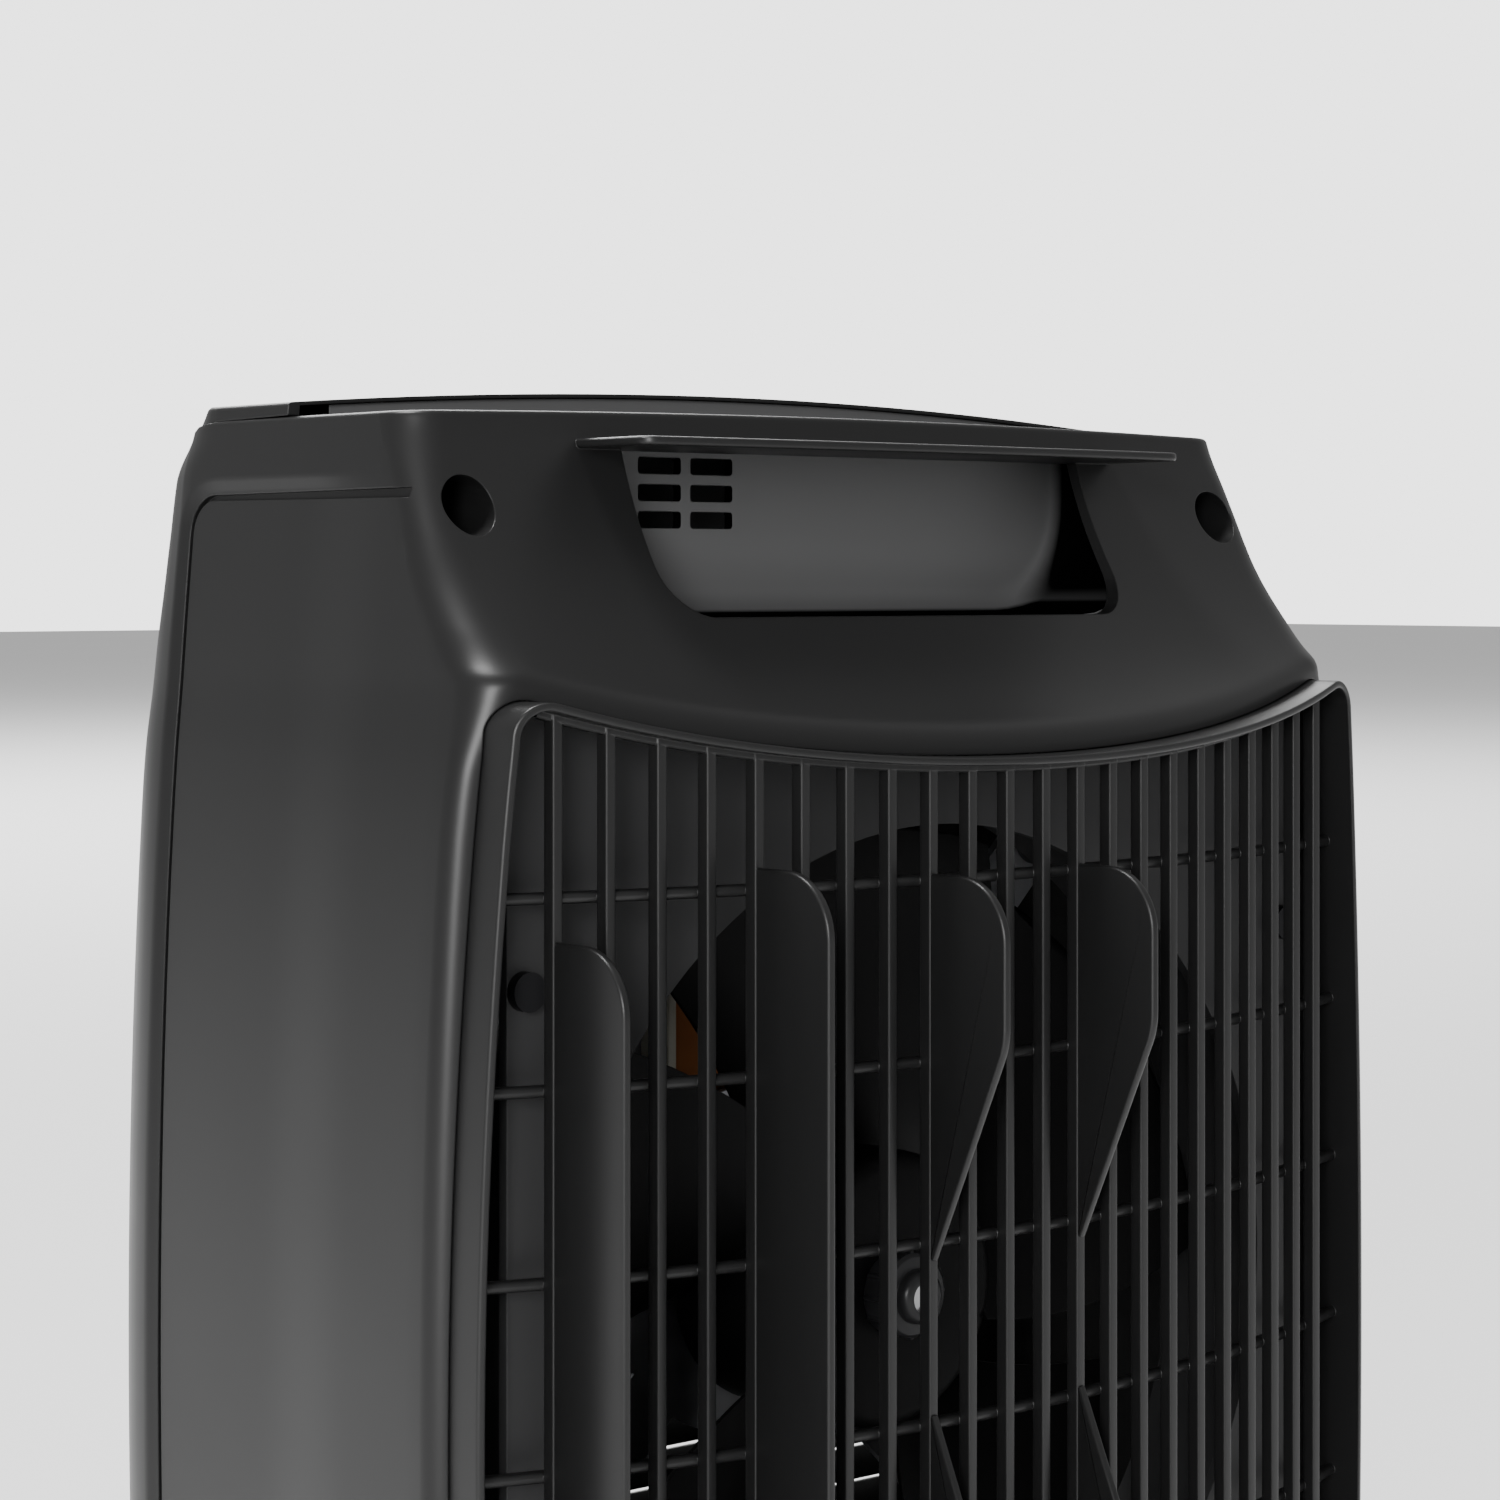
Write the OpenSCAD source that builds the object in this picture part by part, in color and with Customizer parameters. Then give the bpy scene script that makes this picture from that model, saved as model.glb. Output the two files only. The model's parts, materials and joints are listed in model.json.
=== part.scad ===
// Compact box fan: a moulded casing with a carrying pocket, a bowed rear grille,
// a five-blade fan on a shaded-pole motor, and a rotary speed switch.
// Front faces -Y, rear faces +Y, +Z is up. The origin is on the floor, midway in
// width and depth.

/* [Casing] */
// Widest width of the casing
casing_w = 202; // [198:1:206]
// Level at which the casing is widest
widest_z = 110; // [100:5:120]
// Radius of the bowed side walls, seen from the front
side_r = 1323; // [1250:1:1500]
// Angle by which each side wall closes in towards the rear
side_draft = 1.8; // [1.2:0.1:2.2]
// Height of the top at its middle
top_z = 261; // [259:0.5:262]
// Radius of the top's slight crown, seen from the front
top_r = 2850; // [2500:50:3200]
// Underside of the casing, which is also the height of the feet
base_z = 4; // [3.5:0.5:5]
// Position of the front face
front_y = -68; // [-69:0.5:-67]
// Radius of the upright front corners, seen from above
corner_r = 20; // [16:1:22]
// Wall thickness of the mouldings
wall = 2.2; // [2:0.1:2.4]
// Position of the joint between the rear shell and the front bezel
parting_y = -58; // [-60:0.5:-57]

/* [Rear face] */
// Radius of the concave flare under the carrying pocket
flare_r = 75; // [74:0.5:76]
// Flare centre, rearward
flare_y = 85.3; // [85:0.1:86]
// Flare centre, height
flare_z = 276.4; // [276:0.1:277]
// Rearward position of the grille bars at the edges of the grille
grille_y = 38; // [37:0.5:39]
// Height of the grille's bow, from its edges to its middle
bow_h = 15.6; // [15:0.1:16]
// Half of the width over which the bow is measured
bow_half_w = 92; // [91:0.5:93]

/* [Rear grille] */
// Spacing of the upright bars
bar_pitch = 8; // [7.8:0.1:8.1]
// Number of upright bars
bar_count = 22; // [20:2:22]
// Width of a bar
bar_w = 2.1; // [1.8:0.1:2.4]
// Depth of a bar
bar_d = 3.2; // [2.8:0.1:3.6]
// Spacing of the cross ribs behind the bars
rib_pitch = 28.4; // [28:0.1:28.6]
// Number of cross ribs
rib_count = 6; // [4:2:6]
// Height that the rim stands behind the bars
rim_proud = 3.5; // [3:0.1:4]
// Thickness of the rim
rim_t = 1.5; // [1.3:0.1:1.8]
// How far the cord fins stand behind the bars
fin_depth = 16.5; // [15:0.1:16.5]
// Thickness of a cord fin
fin_t = 1.5; // [1.2:0.1:1.8]

/* [Carrying pocket] */
// Half width of the hand opening
grip_half_w = 51; // [48:0.5:53]
// Lower edge of the hand opening
grip_low_z = 228; // [227:0.5:229]
// Upper edge of the hand opening, under the lip
grip_high_z = 254.6; // [254:0.1:255]
// Position of the pocket's back wall
pocket_y = 1; // [-2:0.5:2]
// Half width of the pocket behind the opening
pocket_half_w = 61; // [58:0.5:63]

/* [Fan and motor] */
// Height of the fan axis
axis_z = 116; // [115:0.5:117]
// Inlet radius
inlet_r = 82; // [81:0.5:83]
// Radius over the blade tips
fan_r = 77; // [74:0.5:78]
// Number of blades
blade_count = 5; // [4:1:6]
// Radius of the fan hub
hub_r = 23; // [21:0.5:25]
// Radius of the motor shaft
shaft_r = 2.5; // [2:0.1:3]
// Radial clearance of a running fit
running_gap = 0.04; // [0.02:0.01:0.08]

/* [Controls] */
// Height of the knob's axis
knob_z = 232.5; // [232:0.5:233]
// Radius of the knob
knob_r = 17; // [15:0.5:18]
// Front face of the knob
knob_front_y = -69.8; // [-70:0.1:-69.5]

/* [Hidden] */
$fn = 64;
fine = 360;                 // facets of the large curves

black = [0.10, 0.10, 0.10];
black_grille = [0.13, 0.13, 0.13];
grey = [0.29, 0.29, 0.29];
steel = [0.62, 0.63, 0.65];
bronze = [0.62, 0.47, 0.27];

// Bow of the rear face: one upright cylinder.
bow_r = (bow_half_w * bow_half_w + bow_h * bow_h) / (2 * bow_h);
bow_y = grille_y + bow_h - bow_r;
function bow_at(x, off = 0) = bow_y + sqrt(pow(bow_r + off, 2) - x * x);
function half_w(z) = casing_w / 2 - side_r + sqrt(side_r * side_r - pow(z - widest_z, 2));
// Rear surface of the concave flare at a height.
function flare_at(z, off = 0) = flare_y - sqrt(pow(flare_r + off, 2) - pow(flare_z - z, 2));

ledge = 3;                  // the casing's rear face lies this far in front of the bars
rim_inset = 4.3;            // gap between the casing's side and the rim
rim_gap = 3.2;              // gap between the end of the flare and the rim
rim_deep = 6.9;             // how far the rim reaches in front of the bars
rim_low_z = 23;
rim_high_z = 215.5;
plate_y = 32;               // rear face of the inlet plate
plate_half_w = 87;
plate_t = 2;
bezel_top_z = 265.8;
bezel_top_r = 940;
bezel_lip_y = -40;          // rear edge of the bezel's top
// Side profile of the joint between shell and bezel where it turns back along the top.
brow = [[parting_y, 243], [parting_y + 1.2, 249], [parting_y + 2.7, 253],
        [parting_y + 5.5, 257], [parting_y + 10, 259.2], [bezel_lip_y, 260]];
forehead = [[front_y, 199], [front_y + 1.3, 224], [front_y + 2.7, 240], [front_y + 3.5, 249],
            [front_y + 4.8, 253], [front_y + 7.3, 257], [front_y + 10.8, 261], [front_y + 18, 266.5]];

// ---------- building blocks ----------

module along_y(r, y0, y1, facets = 64)
    translate([0, y0, 0]) rotate([-90, 0, 0]) cylinder(r = r, h = y1 - y0, $fn = facets);

module side_bound(inset)
    translate([casing_w / 2 - inset, parting_y, widest_z]) rotate([0, 0, side_draft])
        translate([-side_r, 0, 0]) along_y(side_r, -60, 180, fine * 2);

module plan_outline(inset) {
    w = casing_w / 2 + 0.3 - inset;
    flat_w = casing_w / 2 + 0.3 - corner_r;
    intersection() {
        union() {
            translate([-w, front_y + corner_r]) square([2 * w, 200]);
            translate([-flat_w, front_y + inset]) square([2 * flat_w, 100]);
            for (s = [-1, 1])
                translate([s * flat_w, front_y + corner_r]) circle(r = corner_r - inset);
        }
        translate([0, bow_y]) circle(r = bow_r - ledge - inset, $fn = fine * 2);
    }
}

// The casing's outer form, or with an inset the space inside its walls.
module casing_form(inset, high_z, crown_r)
    intersection() {
        translate([0, 0, base_z + inset]) linear_extrude(300) plan_outline(inset);
        side_bound(inset);
        mirror([1, 0, 0]) side_bound(inset);
        translate([0, 0, high_z - inset - crown_r]) along_y(crown_r, -100, 100, fine * 2);
    }

module flare_cut(off)
    translate([-130, flare_y, flare_z]) rotate([0, 90, 0])
        cylinder(r = flare_r + off, h = 260, $fn = fine);

// Everything behind the joint between shell and bezel.
module behind_parting()
    rotate([90, 0, 90]) translate([0, 0, -130]) linear_extrude(260)
        polygon(concat([[parting_y, -5]], brow, [[bezel_lip_y, 300], [140, 300], [140, -5]]));

// Everything inside the front bezel's profile, or with an inset the space behind its wall.
module bezel_profile(inset)
    rotate([90, 0, 90]) translate([0, 0, -130]) linear_extrude(260)
        polygon(concat([[front_y + inset, -5], [front_y + inset, 150]],
                       [for (p = forehead) [p[0] + inset, p[1] - inset / 2]],
                       [[bezel_lip_y + 5, 270], [bezel_lip_y + 5, -5]]));

// Rounded rectangle in the X-Z plane, run along Y.
module tile_y(x0, x1, z0, z1, r, y0, y1)
    translate([0, y1, 0]) rotate([90, 0, 0]) linear_extrude(y1 - y0) {
        translate([x0 + r, z0]) square([x1 - x0 - 2 * r, z1 - z0]);
        translate([x0, z0 + r]) square([x1 - x0, z1 - z0 - 2 * r]);
        for (x = [x0 + r, x1 - r], z = [z0 + r, z1 - r]) translate([x, z]) circle(r = r);
    }

// ---------- casing ----------

screw_x = 83.2;
screw_zs = [13.5, 245.3];
well_r = 4.7;
well_wall = 2;
seat_y = -18;               // where the case screw heads sit
seat_t = 2;
boss_r = 4.6;
post_x = 70;
post_dz = 70;
gland_x = 58;
gland_z = 13.6;
gland_r = 3.7;
gland_hole_r = 6;
gland_inner_r = 7.3;        // clears the casing's floor
gland_pad_r = 8;
gland_in_y = 40;
gland_out_y = 46.6;
foot_x = 76;
foot_ys = [-44, 26];
foot_r = 8;
stem_r = 2.4;
shroud_screw_x = 84;
small_screw_r = 1.5;
ledge_w = 30;
ledge_d = 9;
ledge_h = 9;

module screw_places()
    for (s = [-1, 1], z = screw_zs) translate([s * screw_x, 0, z]) children();

module post_places()
    for (s = [-1, 1], t = [-1, 1])
        translate([s * post_x, 0, axis_z + t * post_dz]) children();

// The two upper and two lower screws of the inlet plate, between the cross ribs.
module shroud_screw_places()
    for (s = [-1, 1], t = [-1, 1])
        translate([s * shroud_screw_x, 0, axis_z + t * 2 * rib_pitch]) children();

module foot_places()
    for (s = [-1, 1], y = foot_ys) translate([s * foot_x, y, 0]) children();

// Outline of the rear grille's rim, seen from behind, less an inset.
module rim_form(inset, y0, y1)
    intersection() {
        side_bound(rim_inset + inset);
        mirror([1, 0, 0]) side_bound(rim_inset + inset);
        translate([-100, y0, rim_low_z + inset])
            cube([200, y1 - y0, rim_high_z - rim_low_z - 2 * inset]);
        difference() {
            translate([-130, y0, 0]) cube([260, y1 - y0, 260]);
            flare_cut(rim_gap + inset);
        }
    }

// Upright-sided hollow with a flat top and two round lower corners, run along Y.
module cup_form(half_w, low_z, high_z, r, y0, y1)
    intersection() {
        tile_y(-half_w, half_w, low_z, high_z + 2 * r, r, y0, y1);
        translate([-half_w, y0, low_z]) cube([2 * half_w, y1 - y0, high_z - low_z]);
    }

grip_corner_r = 8;
lip_t = 1.5;
lip_end_x = 64;
lip_mid_y = 27;
lip_end_y = 23.2;
lip_r = (lip_end_x * lip_end_x + pow(lip_mid_y - lip_end_y, 2)) / (2 * (lip_mid_y - lip_end_y));
groove_z = 246.6;
groove_w = 1.2;
groove_d = 1;
groove_y0 = -44;
groove_y1 = 7;

module hand_lip()
    translate([0, 0, grip_high_z])
        difference() {
            intersection() {
                translate([0, lip_mid_y - lip_r, 0]) cylinder(r = lip_r, h = lip_t, $fn = fine);
                translate([-lip_end_x, 5, 0]) cube([2 * lip_end_x, 40, lip_t]);
            }
            translate([-lip_end_x - 1, 0, -1])
                cube([2 * lip_end_x + 2, flare_at(grip_high_z) - 1, 4]);
        }

module side_groove()
    for (s = [0, 1]) mirror([s, 0, 0])
        intersection() {
            difference() {
                side_bound(-1);
                side_bound(groove_d);
            }
            union() {
                translate([60, groove_y0, groove_z]) cube([60, groove_y1 - groove_y0, groove_w]);
                translate([60, groove_y0 - groove_w, 12]) cube([60, groove_w, groove_z - 12 + groove_w]);
            }
        }

module rear_shell()
    color(black)
    difference() {
        union() {
            intersection() {
                difference() {
                    casing_form(0, top_z, top_r);
                    flare_cut(0);
                    difference() {
                        casing_form(wall, top_z, top_r);
                        flare_cut(wall);
                    }
                }
                behind_parting();
            }
            hand_lip();
            // screw wells, cut back to the rear face
            difference() {
                intersection() {
                    screw_places() along_y(well_r + well_wall, seat_y - seat_t, 60);
                    casing_form(1, top_z, top_r);
                }
                flare_cut(1);
            }
            // ledges that the inlet plate is screwed to
            intersection() {
                shroud_screw_places()
                    translate([-ledge_w / 2, plate_y - plate_t - ledge_d, -ledge_h / 2])
                        cube([ledge_w, ledge_d, ledge_h]);
                casing_form(1, top_z, top_r);
            }
            // flat pad under the cord gland
            translate([gland_x, 0, gland_z]) along_y(gland_pad_r, gland_in_y, gland_out_y);
        }
        screw_places() along_y(well_r, seat_y, 80);
        screw_places() along_y(2.2, seat_y - seat_t - 1, seat_y + 1);
        cup_form(grip_half_w, grip_low_z, grip_high_z, grip_corner_r, 0, 60);
        rim_form(-0.3, 20, 80);
        side_groove();
        translate([gland_x, 0, gland_z]) along_y(gland_hole_r, 20, 60);
        foot_places() cylinder(r = stem_r + 0.05, h = 12);
        shroud_screw_places() along_y(small_screw_r, plate_y - plate_t - 7, plate_y);
        // the control cover stands in front of the top's edge
        translate([-cover_tab_x - 2.2, parting_y - 4, 250])
            cube([2 * (cover_tab_x + 2.2), cover_y + 0.1 - parting_y + 4, 20]);
    }

window_half_w = 62;
window_low_z = 213;
window_high_z = 252;
window_r = 8;
collar_t = 2;
panel_y = -60;              // front face of the recessed control panel
panel_t = 2;
grille_half_w = 86;
grille_low_z = 26;
grille_high_z = 206;
cover_y = -42;              // rear face of the control cover
cover_t = 1.8;
cover_half_w = 69.8;
cover_tab_x = 74.5;

module front_bezel()
    color(black)
    difference() {
        union() {
            difference() {
                intersection() {
                    casing_form(0, bezel_top_z, bezel_top_r);
                    bezel_profile(0);
                }
                intersection() {
                    casing_form(wall, bezel_top_z, bezel_top_r);
                    bezel_profile(wall);
                }
                behind_parting();
            }
            // screw bosses that reach back into the shell
            screw_places() along_y(boss_r, -62, seat_y - seat_t);
            for (s = [-1, 1]) translate([s * screw_x, 0, screw_zs[0]]) along_y(boss_r, -66.5, -60);
            // collar round the control panel
            intersection() {
                tile_y(-window_half_w - collar_t, window_half_w + collar_t,
                       window_low_z - collar_t, window_high_z + collar_t, window_r + collar_t,
                       -70, panel_y + panel_t);
                bezel_profile(0.4);
            }
            // end webs beside the control cover, above the shell's top
            difference() {
                intersection() {
                    for (s = [0, 1]) mirror([s, 0, 0])
                        translate([cover_tab_x + 2, cover_y - cover_t, top_z - 12])
                            cube([30, cover_t, 30]);
                    casing_form(0.5, bezel_top_z, bezel_top_r);
                }
                translate([0, 0, top_z + 0.1 - top_r]) along_y(top_r, -100, 100, fine * 2);
            }
        }
        tile_y(-window_half_w, window_half_w, window_low_z, window_high_z, window_r, -80, -50);
        tile_y(-grille_half_w, grille_half_w, grille_low_z, grille_high_z, 12, -80, -60);
        screw_places() along_y(screw_r + 0.05, -48, 0);
    }

slat_pitch = 6.9;
slat_t = 1.6;
slat_w = 6.6;
slat_tilt = 45;             // the slats' front edges are the higher ones
slat_count = 25;
divider_pitch = 32;
frame_gap = 0.3;

module front_grille()
    color(black_grille) {
        difference() {
            union() {
                tile_y(-grille_half_w + frame_gap, grille_half_w - frame_gap,
                       grille_low_z + frame_gap, grille_high_z - frame_gap, 12 - frame_gap,
                       front_y + 1, front_y + 7);
                // flange behind the bezel's wall
                intersection() {
                    tile_y(-grille_half_w - 2.5, grille_half_w + 2.5, grille_low_z - 2.5,
                           grille_high_z + 2.5, 12, front_y + wall, front_y + wall + 3.3);
                    casing_form(wall + 0.1, bezel_top_z, bezel_top_r);
                    bezel_profile(wall + 0.1);
                }
            }
            tile_y(-grille_half_w + 3, grille_half_w - 3, grille_low_z + 3, grille_high_z - 3,
                   9, -80, -50);
        }
        for (i = [0 : slat_count - 1])
            translate([0, front_y + 4, axis_z + (i - (slat_count - 1) / 2) * slat_pitch])
                rotate([-slat_tilt, 0, 0])
                    cube([2 * grille_half_w - 5, slat_w, slat_t], center = true);
        for (i = [-2 : 2])
            translate([i * divider_pitch - 1, front_y + 4, grille_low_z + 2.5])
                cube([2, 3, grille_high_z - grille_low_z - 5]);
    }

// Part of the bowed surface between two offsets from the face of the bars.
module bow_layer(off0, off1, z0, z1)
    translate([0, bow_y, z0])
        difference() {
            cylinder(r = bow_r + off1, h = z1 - z0, $fn = fine * 2);
            translate([0, 0, -1]) cylinder(r = bow_r + off0, h = z1 - z0 + 2, $fn = fine * 2);
        }

// Height at which the flare, moved in by an offset, meets the bars' face.
function rim_top_at(x, off) =
    min(rim_high_z - off,
        flare_z - sqrt(pow(flare_r + rim_gap + off, 2) - pow(flare_y - bow_at(x), 2)));

module grille_rim()
    intersection() {
        difference() {
            rim_form(0, 20, 80);
            rim_form(rim_t, 10, 90);
        }
        bow_layer(-rim_deep, rim_proud, 10, 230);
    }

// Inner flange that catches the shell from inside.
module grille_flange()
    intersection() {
        difference() {
            rim_form(-flange_w, 20, 80);
            rim_form(rim_t / 2, 10, 90);
            flare_cut(wall + 0.2);
        }
        bow_layer(-rim_deep, -ledge - wall - 0.1, 10, 230);
    }

rib_d = 2.3;
rib_overlap = 0.4;
flange_w = 1.2;

module rear_grille()
    color(black_grille) {
        grille_rim();
        grille_flange();
        for (i = [0 : bar_count - 1]) {
            x = (i - (bar_count - 1) / 2) * bar_pitch;
            low = rim_low_z + rim_t / 2;
            translate([x - bar_w / 2, bow_at(x) - bar_d, low])
                cube([bar_w, bar_d, rim_top_at(x, rim_t / 2) - low]);
        }
        for (i = [0 : rib_count - 1])
            cross_rib(axis_z + (i - (rib_count - 1) / 2) * rib_pitch);
    }

// A rib behind the bars; its ends are buried in the rim.
module cross_rib(z) {
    drafted = (bow_at(bow_half_w) - parting_y) * tan(side_draft);
    rib_half_w = half_w(z) - rim_inset - rim_t / 2 - drafted;
    intersection() {
        bow_layer(-bar_d - rib_d + rib_overlap, -bar_d + rib_overlap, z - bar_w / 2, z + bar_w / 2);
        translate([-rib_half_w, 20, 0]) cube([2 * rib_half_w, 60, 260]);
    }
}

fin_tops = [180.7, 190.5, 188.2, 188.2];
fin_xs = [84, 52, 20, -12];
fin_corner_r = 10;
lobe_low_z = 162;           // where a short fin's free edge starts to slant in
lobe_slant = 34;

// One cord fin's outline, seen from the side: depth from the bars, then height.
module fin_outline(top_z, short) {
    low_z = 2 * axis_z - top_z;
    flip = 2 * axis_z;
    edge = fin_depth;
    root = -0.5;
    difference() {
        union() {
            translate([root, low_z]) square([edge - fin_corner_r - root, top_z - low_z]);
            translate([root, low_z + fin_corner_r])
                square([edge - root, top_z - low_z - 2 * fin_corner_r]);
            for (z = [low_z + fin_corner_r, top_z - fin_corner_r])
                translate([edge - fin_corner_r, z]) circle(r = fin_corner_r);
        }
        if (short)
            polygon([[edge + 1, lobe_low_z], [edge, lobe_low_z], [0.2, lobe_low_z - lobe_slant],
                     [root - 1, lobe_low_z - lobe_slant], [root - 1, flip - lobe_low_z + lobe_slant],
                     [0.2, flip - lobe_low_z + lobe_slant], [edge, flip - lobe_low_z],
                     [edge + 1, flip - lobe_low_z]]);
    }
}

module cord_fins()
    color(black_grille)
    difference() {
        for (i = [0 : len(fin_xs) - 1])
            translate([fin_xs[i] - fin_t / 2, bow_at(fin_xs[i]), 0]) rotate([90, 0, 90])
                linear_extrude(fin_t) fin_outline(fin_tops[i], i > 1);
        // the fins end on the faces of the bars
        for (x = fin_xs)
            translate([x - bar_w, bow_at(x) - 10, 0]) cube([2 * bar_w, 10, 260]);
    }

// ---------- air path ----------

post_r = 5;
spider_y = -16;             // rear face of the motor spider
spider_t = 1.6;
collar_y = 8;

module inlet_shroud()
    color(black)
    difference() {
        union() {
            intersection() {
                tile_y(-plate_half_w, plate_half_w, 10, 214, 6, plate_y - plate_t, plate_y);
                casing_form(wall + 0.4, top_z, top_r);
            }
            translate([0, 0, axis_z]) along_y(inlet_r + 2, collar_y, plate_y - 0.5, fine);
            post_places() along_y(post_r, spider_y, plate_y - 0.5);
        }
        translate([0, 0, axis_z]) along_y(inlet_r, 0, 60, fine);
        post_places() along_y(small_screw_r, spider_y - 1, spider_y + 14);
        shroud_screw_places() along_y(2, 20, 60);
        // clear of the lower screw wells
        for (s = [-1, 1]) translate([s * screw_x, 0, screw_zs[0]])
            along_y(well_r + well_wall + 0.3, 20, 60);
    }

module handle_pocket()
    color(grey)
    difference() {
        cup_form(pocket_half_w + 2, grip_low_z - 2, grip_high_z + 2.6, pocket_corner_r + 2,
                 pocket_y - 2, 60);
        cup_form(pocket_half_w, grip_low_z, grip_high_z + 0.6, pocket_corner_r, pocket_y, 70);
        flare_cut(wall + 0.1);
        for (i = [0, 1], j = [0 : 2])
            translate([slot_x + i * (slot_w + slot_gap), 0, slot_top_z - slot_h - j * slot_pitch])
                tile_y(0, slot_w, 0, slot_h, 0.6, pocket_y - 5, pocket_y + 1);
    }

pocket_corner_r = 20;
slot_x = 17.6;
slot_w = 9.05;
slot_gap = 2;
slot_h = 2.8;
slot_pitch = 4.45;
slot_top_z = 254.1;

// ---------- controls ----------

switch_shaft_r = 3;
bushing_out_r = 4.5;
switch_half_w = 14;
switch_half_h = 12;

module control_cover()
    color(grey)
    intersection() {
        union() {
            translate([-cover_half_w, cover_y - cover_t, 214]) cube([2 * cover_half_w, cover_t, 60]);
            for (s = [0, 1]) mirror([s, 0, 0]) {
                translate([cover_tab_x, cover_y - cover_t, 240]) cube([1.9, cover_t, 30]);
                translate([cover_half_w - 1, cover_y - cover_t, 240])
                    cube([cover_tab_x - cover_half_w + 1, cover_t, 15]);
            }
        }
        casing_form(wall + 0.1, bezel_top_z, bezel_top_r);
    }

module control_panel()
    color([0.16, 0.16, 0.17])
    difference() {
        tile_y(-window_half_w + 0.1, window_half_w - 0.1, window_low_z + 0.1, window_high_z - 0.1,
               window_r - 0.1, panel_y, panel_y + panel_t);
        translate([0, 0, knob_z]) along_y(bushing_out_r + 0.1, -70, -50);
    }

module speed_knob()
    color(black_grille)
    translate([0, 0, knob_z])
    difference() {
        union() {
            along_y(knob_r, knob_front_y + 2, panel_y - 0.6);
            along_y(knob_r - 2, knob_front_y, knob_front_y + 3);
        }
        along_y(8.5, panel_y - 3.4, panel_y);
        along_y(switch_shaft_r, panel_y - 8.2, panel_y);
        translate([-0.7, knob_front_y - 1, knob_r - 9]) cube([1.4, 1.8, 12]);
    }

module switch_shaft()
    color(steel)
    translate([0, 0, knob_z]) along_y(switch_shaft_r, panel_y - 8.2, -48);

module rotary_switch()
    color([0.75, 0.72, 0.62])
    translate([0, 0, knob_z])
    difference() {
        union() {
            translate([-switch_half_w, panel_y + panel_t, -switch_half_h])
                cube([2 * switch_half_w, 12.5, 2 * switch_half_h]);
            along_y(bushing_out_r, panel_y - 3, panel_y + 3);
        }
        along_y(switch_shaft_r + running_gap, panel_y - 4, -47.5);
    }

module switch_nut()
    color(steel)
    translate([0, 0, knob_z])
    difference() {
        along_y(7, panel_y - 2, panel_y, 6);
        along_y(bushing_out_r, panel_y - 3, panel_y + 1);
    }

// ---------- fan ----------

blade_front_y = -6;
blade_rear_y = 23;
blade_half_chord = 30;
blade_curve_r = 80;
blade_t = 1.8;
hub_front_y = -8;
hub_rear_y = 22;

// A blade is a strip of a cylinder whose axis points along the blade's span.
module blade() {
    depth = blade_rear_y - blade_front_y;
    chord = sqrt(depth * depth + 4 * blade_half_chord * blade_half_chord);
    reach = sqrt(blade_curve_r * blade_curve_r - chord * chord / 4);
    mid_y = (blade_front_y + blade_rear_y) / 2;
    intersection() {
        translate([reach * depth / chord, mid_y - reach * 2 * blade_half_chord / chord, 0])
            difference() {
                cylinder(r = blade_curve_r + blade_t / 2, h = 100, $fn = fine);
                translate([0, 0, -1])
                    cylinder(r = blade_curve_r - blade_t / 2, h = 102, $fn = fine);
            }
        difference() {
            along_y(fan_r, blade_front_y, blade_rear_y, fine);
            along_y(hub_r - 1, blade_front_y - 1, blade_rear_y + 1);
        }
        translate([0, blade_rear_y, 0]) rotate([90, 0, 0])
            linear_extrude(depth) polygon([[0, 0], [-50, 92], [50, 92]]);
    }
}

module fan_blade()
    color([0.05, 0.05, 0.05])
    translate([0, 0, axis_z]) {
        for (i = [0 : blade_count - 1]) rotate([0, i * 360 / blade_count, 0]) blade();
        difference() {
            union() {
                difference() {
                    along_y(hub_r, hub_front_y, hub_rear_y, fine);
                    along_y(hub_r - 2, hub_front_y - 1, hub_rear_y - 2);
                }
                along_y(6, hub_front_y + 1, hub_rear_y);
            }
            along_y(shaft_r, hub_front_y - 1, hub_rear_y + 1);
        }
    }

module hub_nut()
    color([0.08, 0.08, 0.08])
    translate([0, 0, axis_z])
    difference() {
        union() {
            along_y(7, hub_rear_y, hub_rear_y + 5);
            along_y(4.5, hub_rear_y, hub_rear_y + 7.5);
        }
        along_y(shaft_r, hub_rear_y - 1, hub_rear_y + 6);
    }

// ---------- motor ----------

stack_y0 = -46;
stack_y1 = -26;
stack_half_w = 28;
stack_low = 24;
stack_high = 44;
bore_r = 13.2;
window_w = 32;
limb_low = 34;
bolt_x = 22;
bolt_r = 2.05;
shade_z = 9.5;
shade_xs = [15.2, 24];

module at_axis() translate([0, 0, axis_z]) children();

module motor_shaft()
    color(steel) at_axis() along_y(shaft_r, -58, hub_rear_y + 6);

module rotor_core()
    color(steel)
    at_axis() difference() {
        along_y(bore_r - 0.35, stack_y0, stack_y1);
        along_y(shaft_r, stack_y0 - 1, stack_y1 + 1);
    }

module shading_wire_places()
    for (s = [-1, 1], x = shade_xs) translate([s * x, 0, s * shade_z]) children();

module stator_core()
    color([0.45, 0.46, 0.48])
    at_axis() difference() {
        translate([-stack_half_w, stack_y0, -stack_low])
            cube([2 * stack_half_w, stack_y1 - stack_y0, stack_low + stack_high]);
        along_y(bore_r, stack_y0 - 1, stack_y1 + 1);
        translate([-window_w / 2, stack_y0 - 1, 20])
            cube([window_w, stack_y1 - stack_y0 + 2, limb_low - 20]);
        for (s = [-1, 1]) translate([s * bolt_x, 0, 0]) along_y(bolt_r, stack_y0 - 1, stack_y1 + 1);
        shading_wire_places() along_y(1.05, stack_y0 - 1, stack_y1 + 1);
    }

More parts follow.
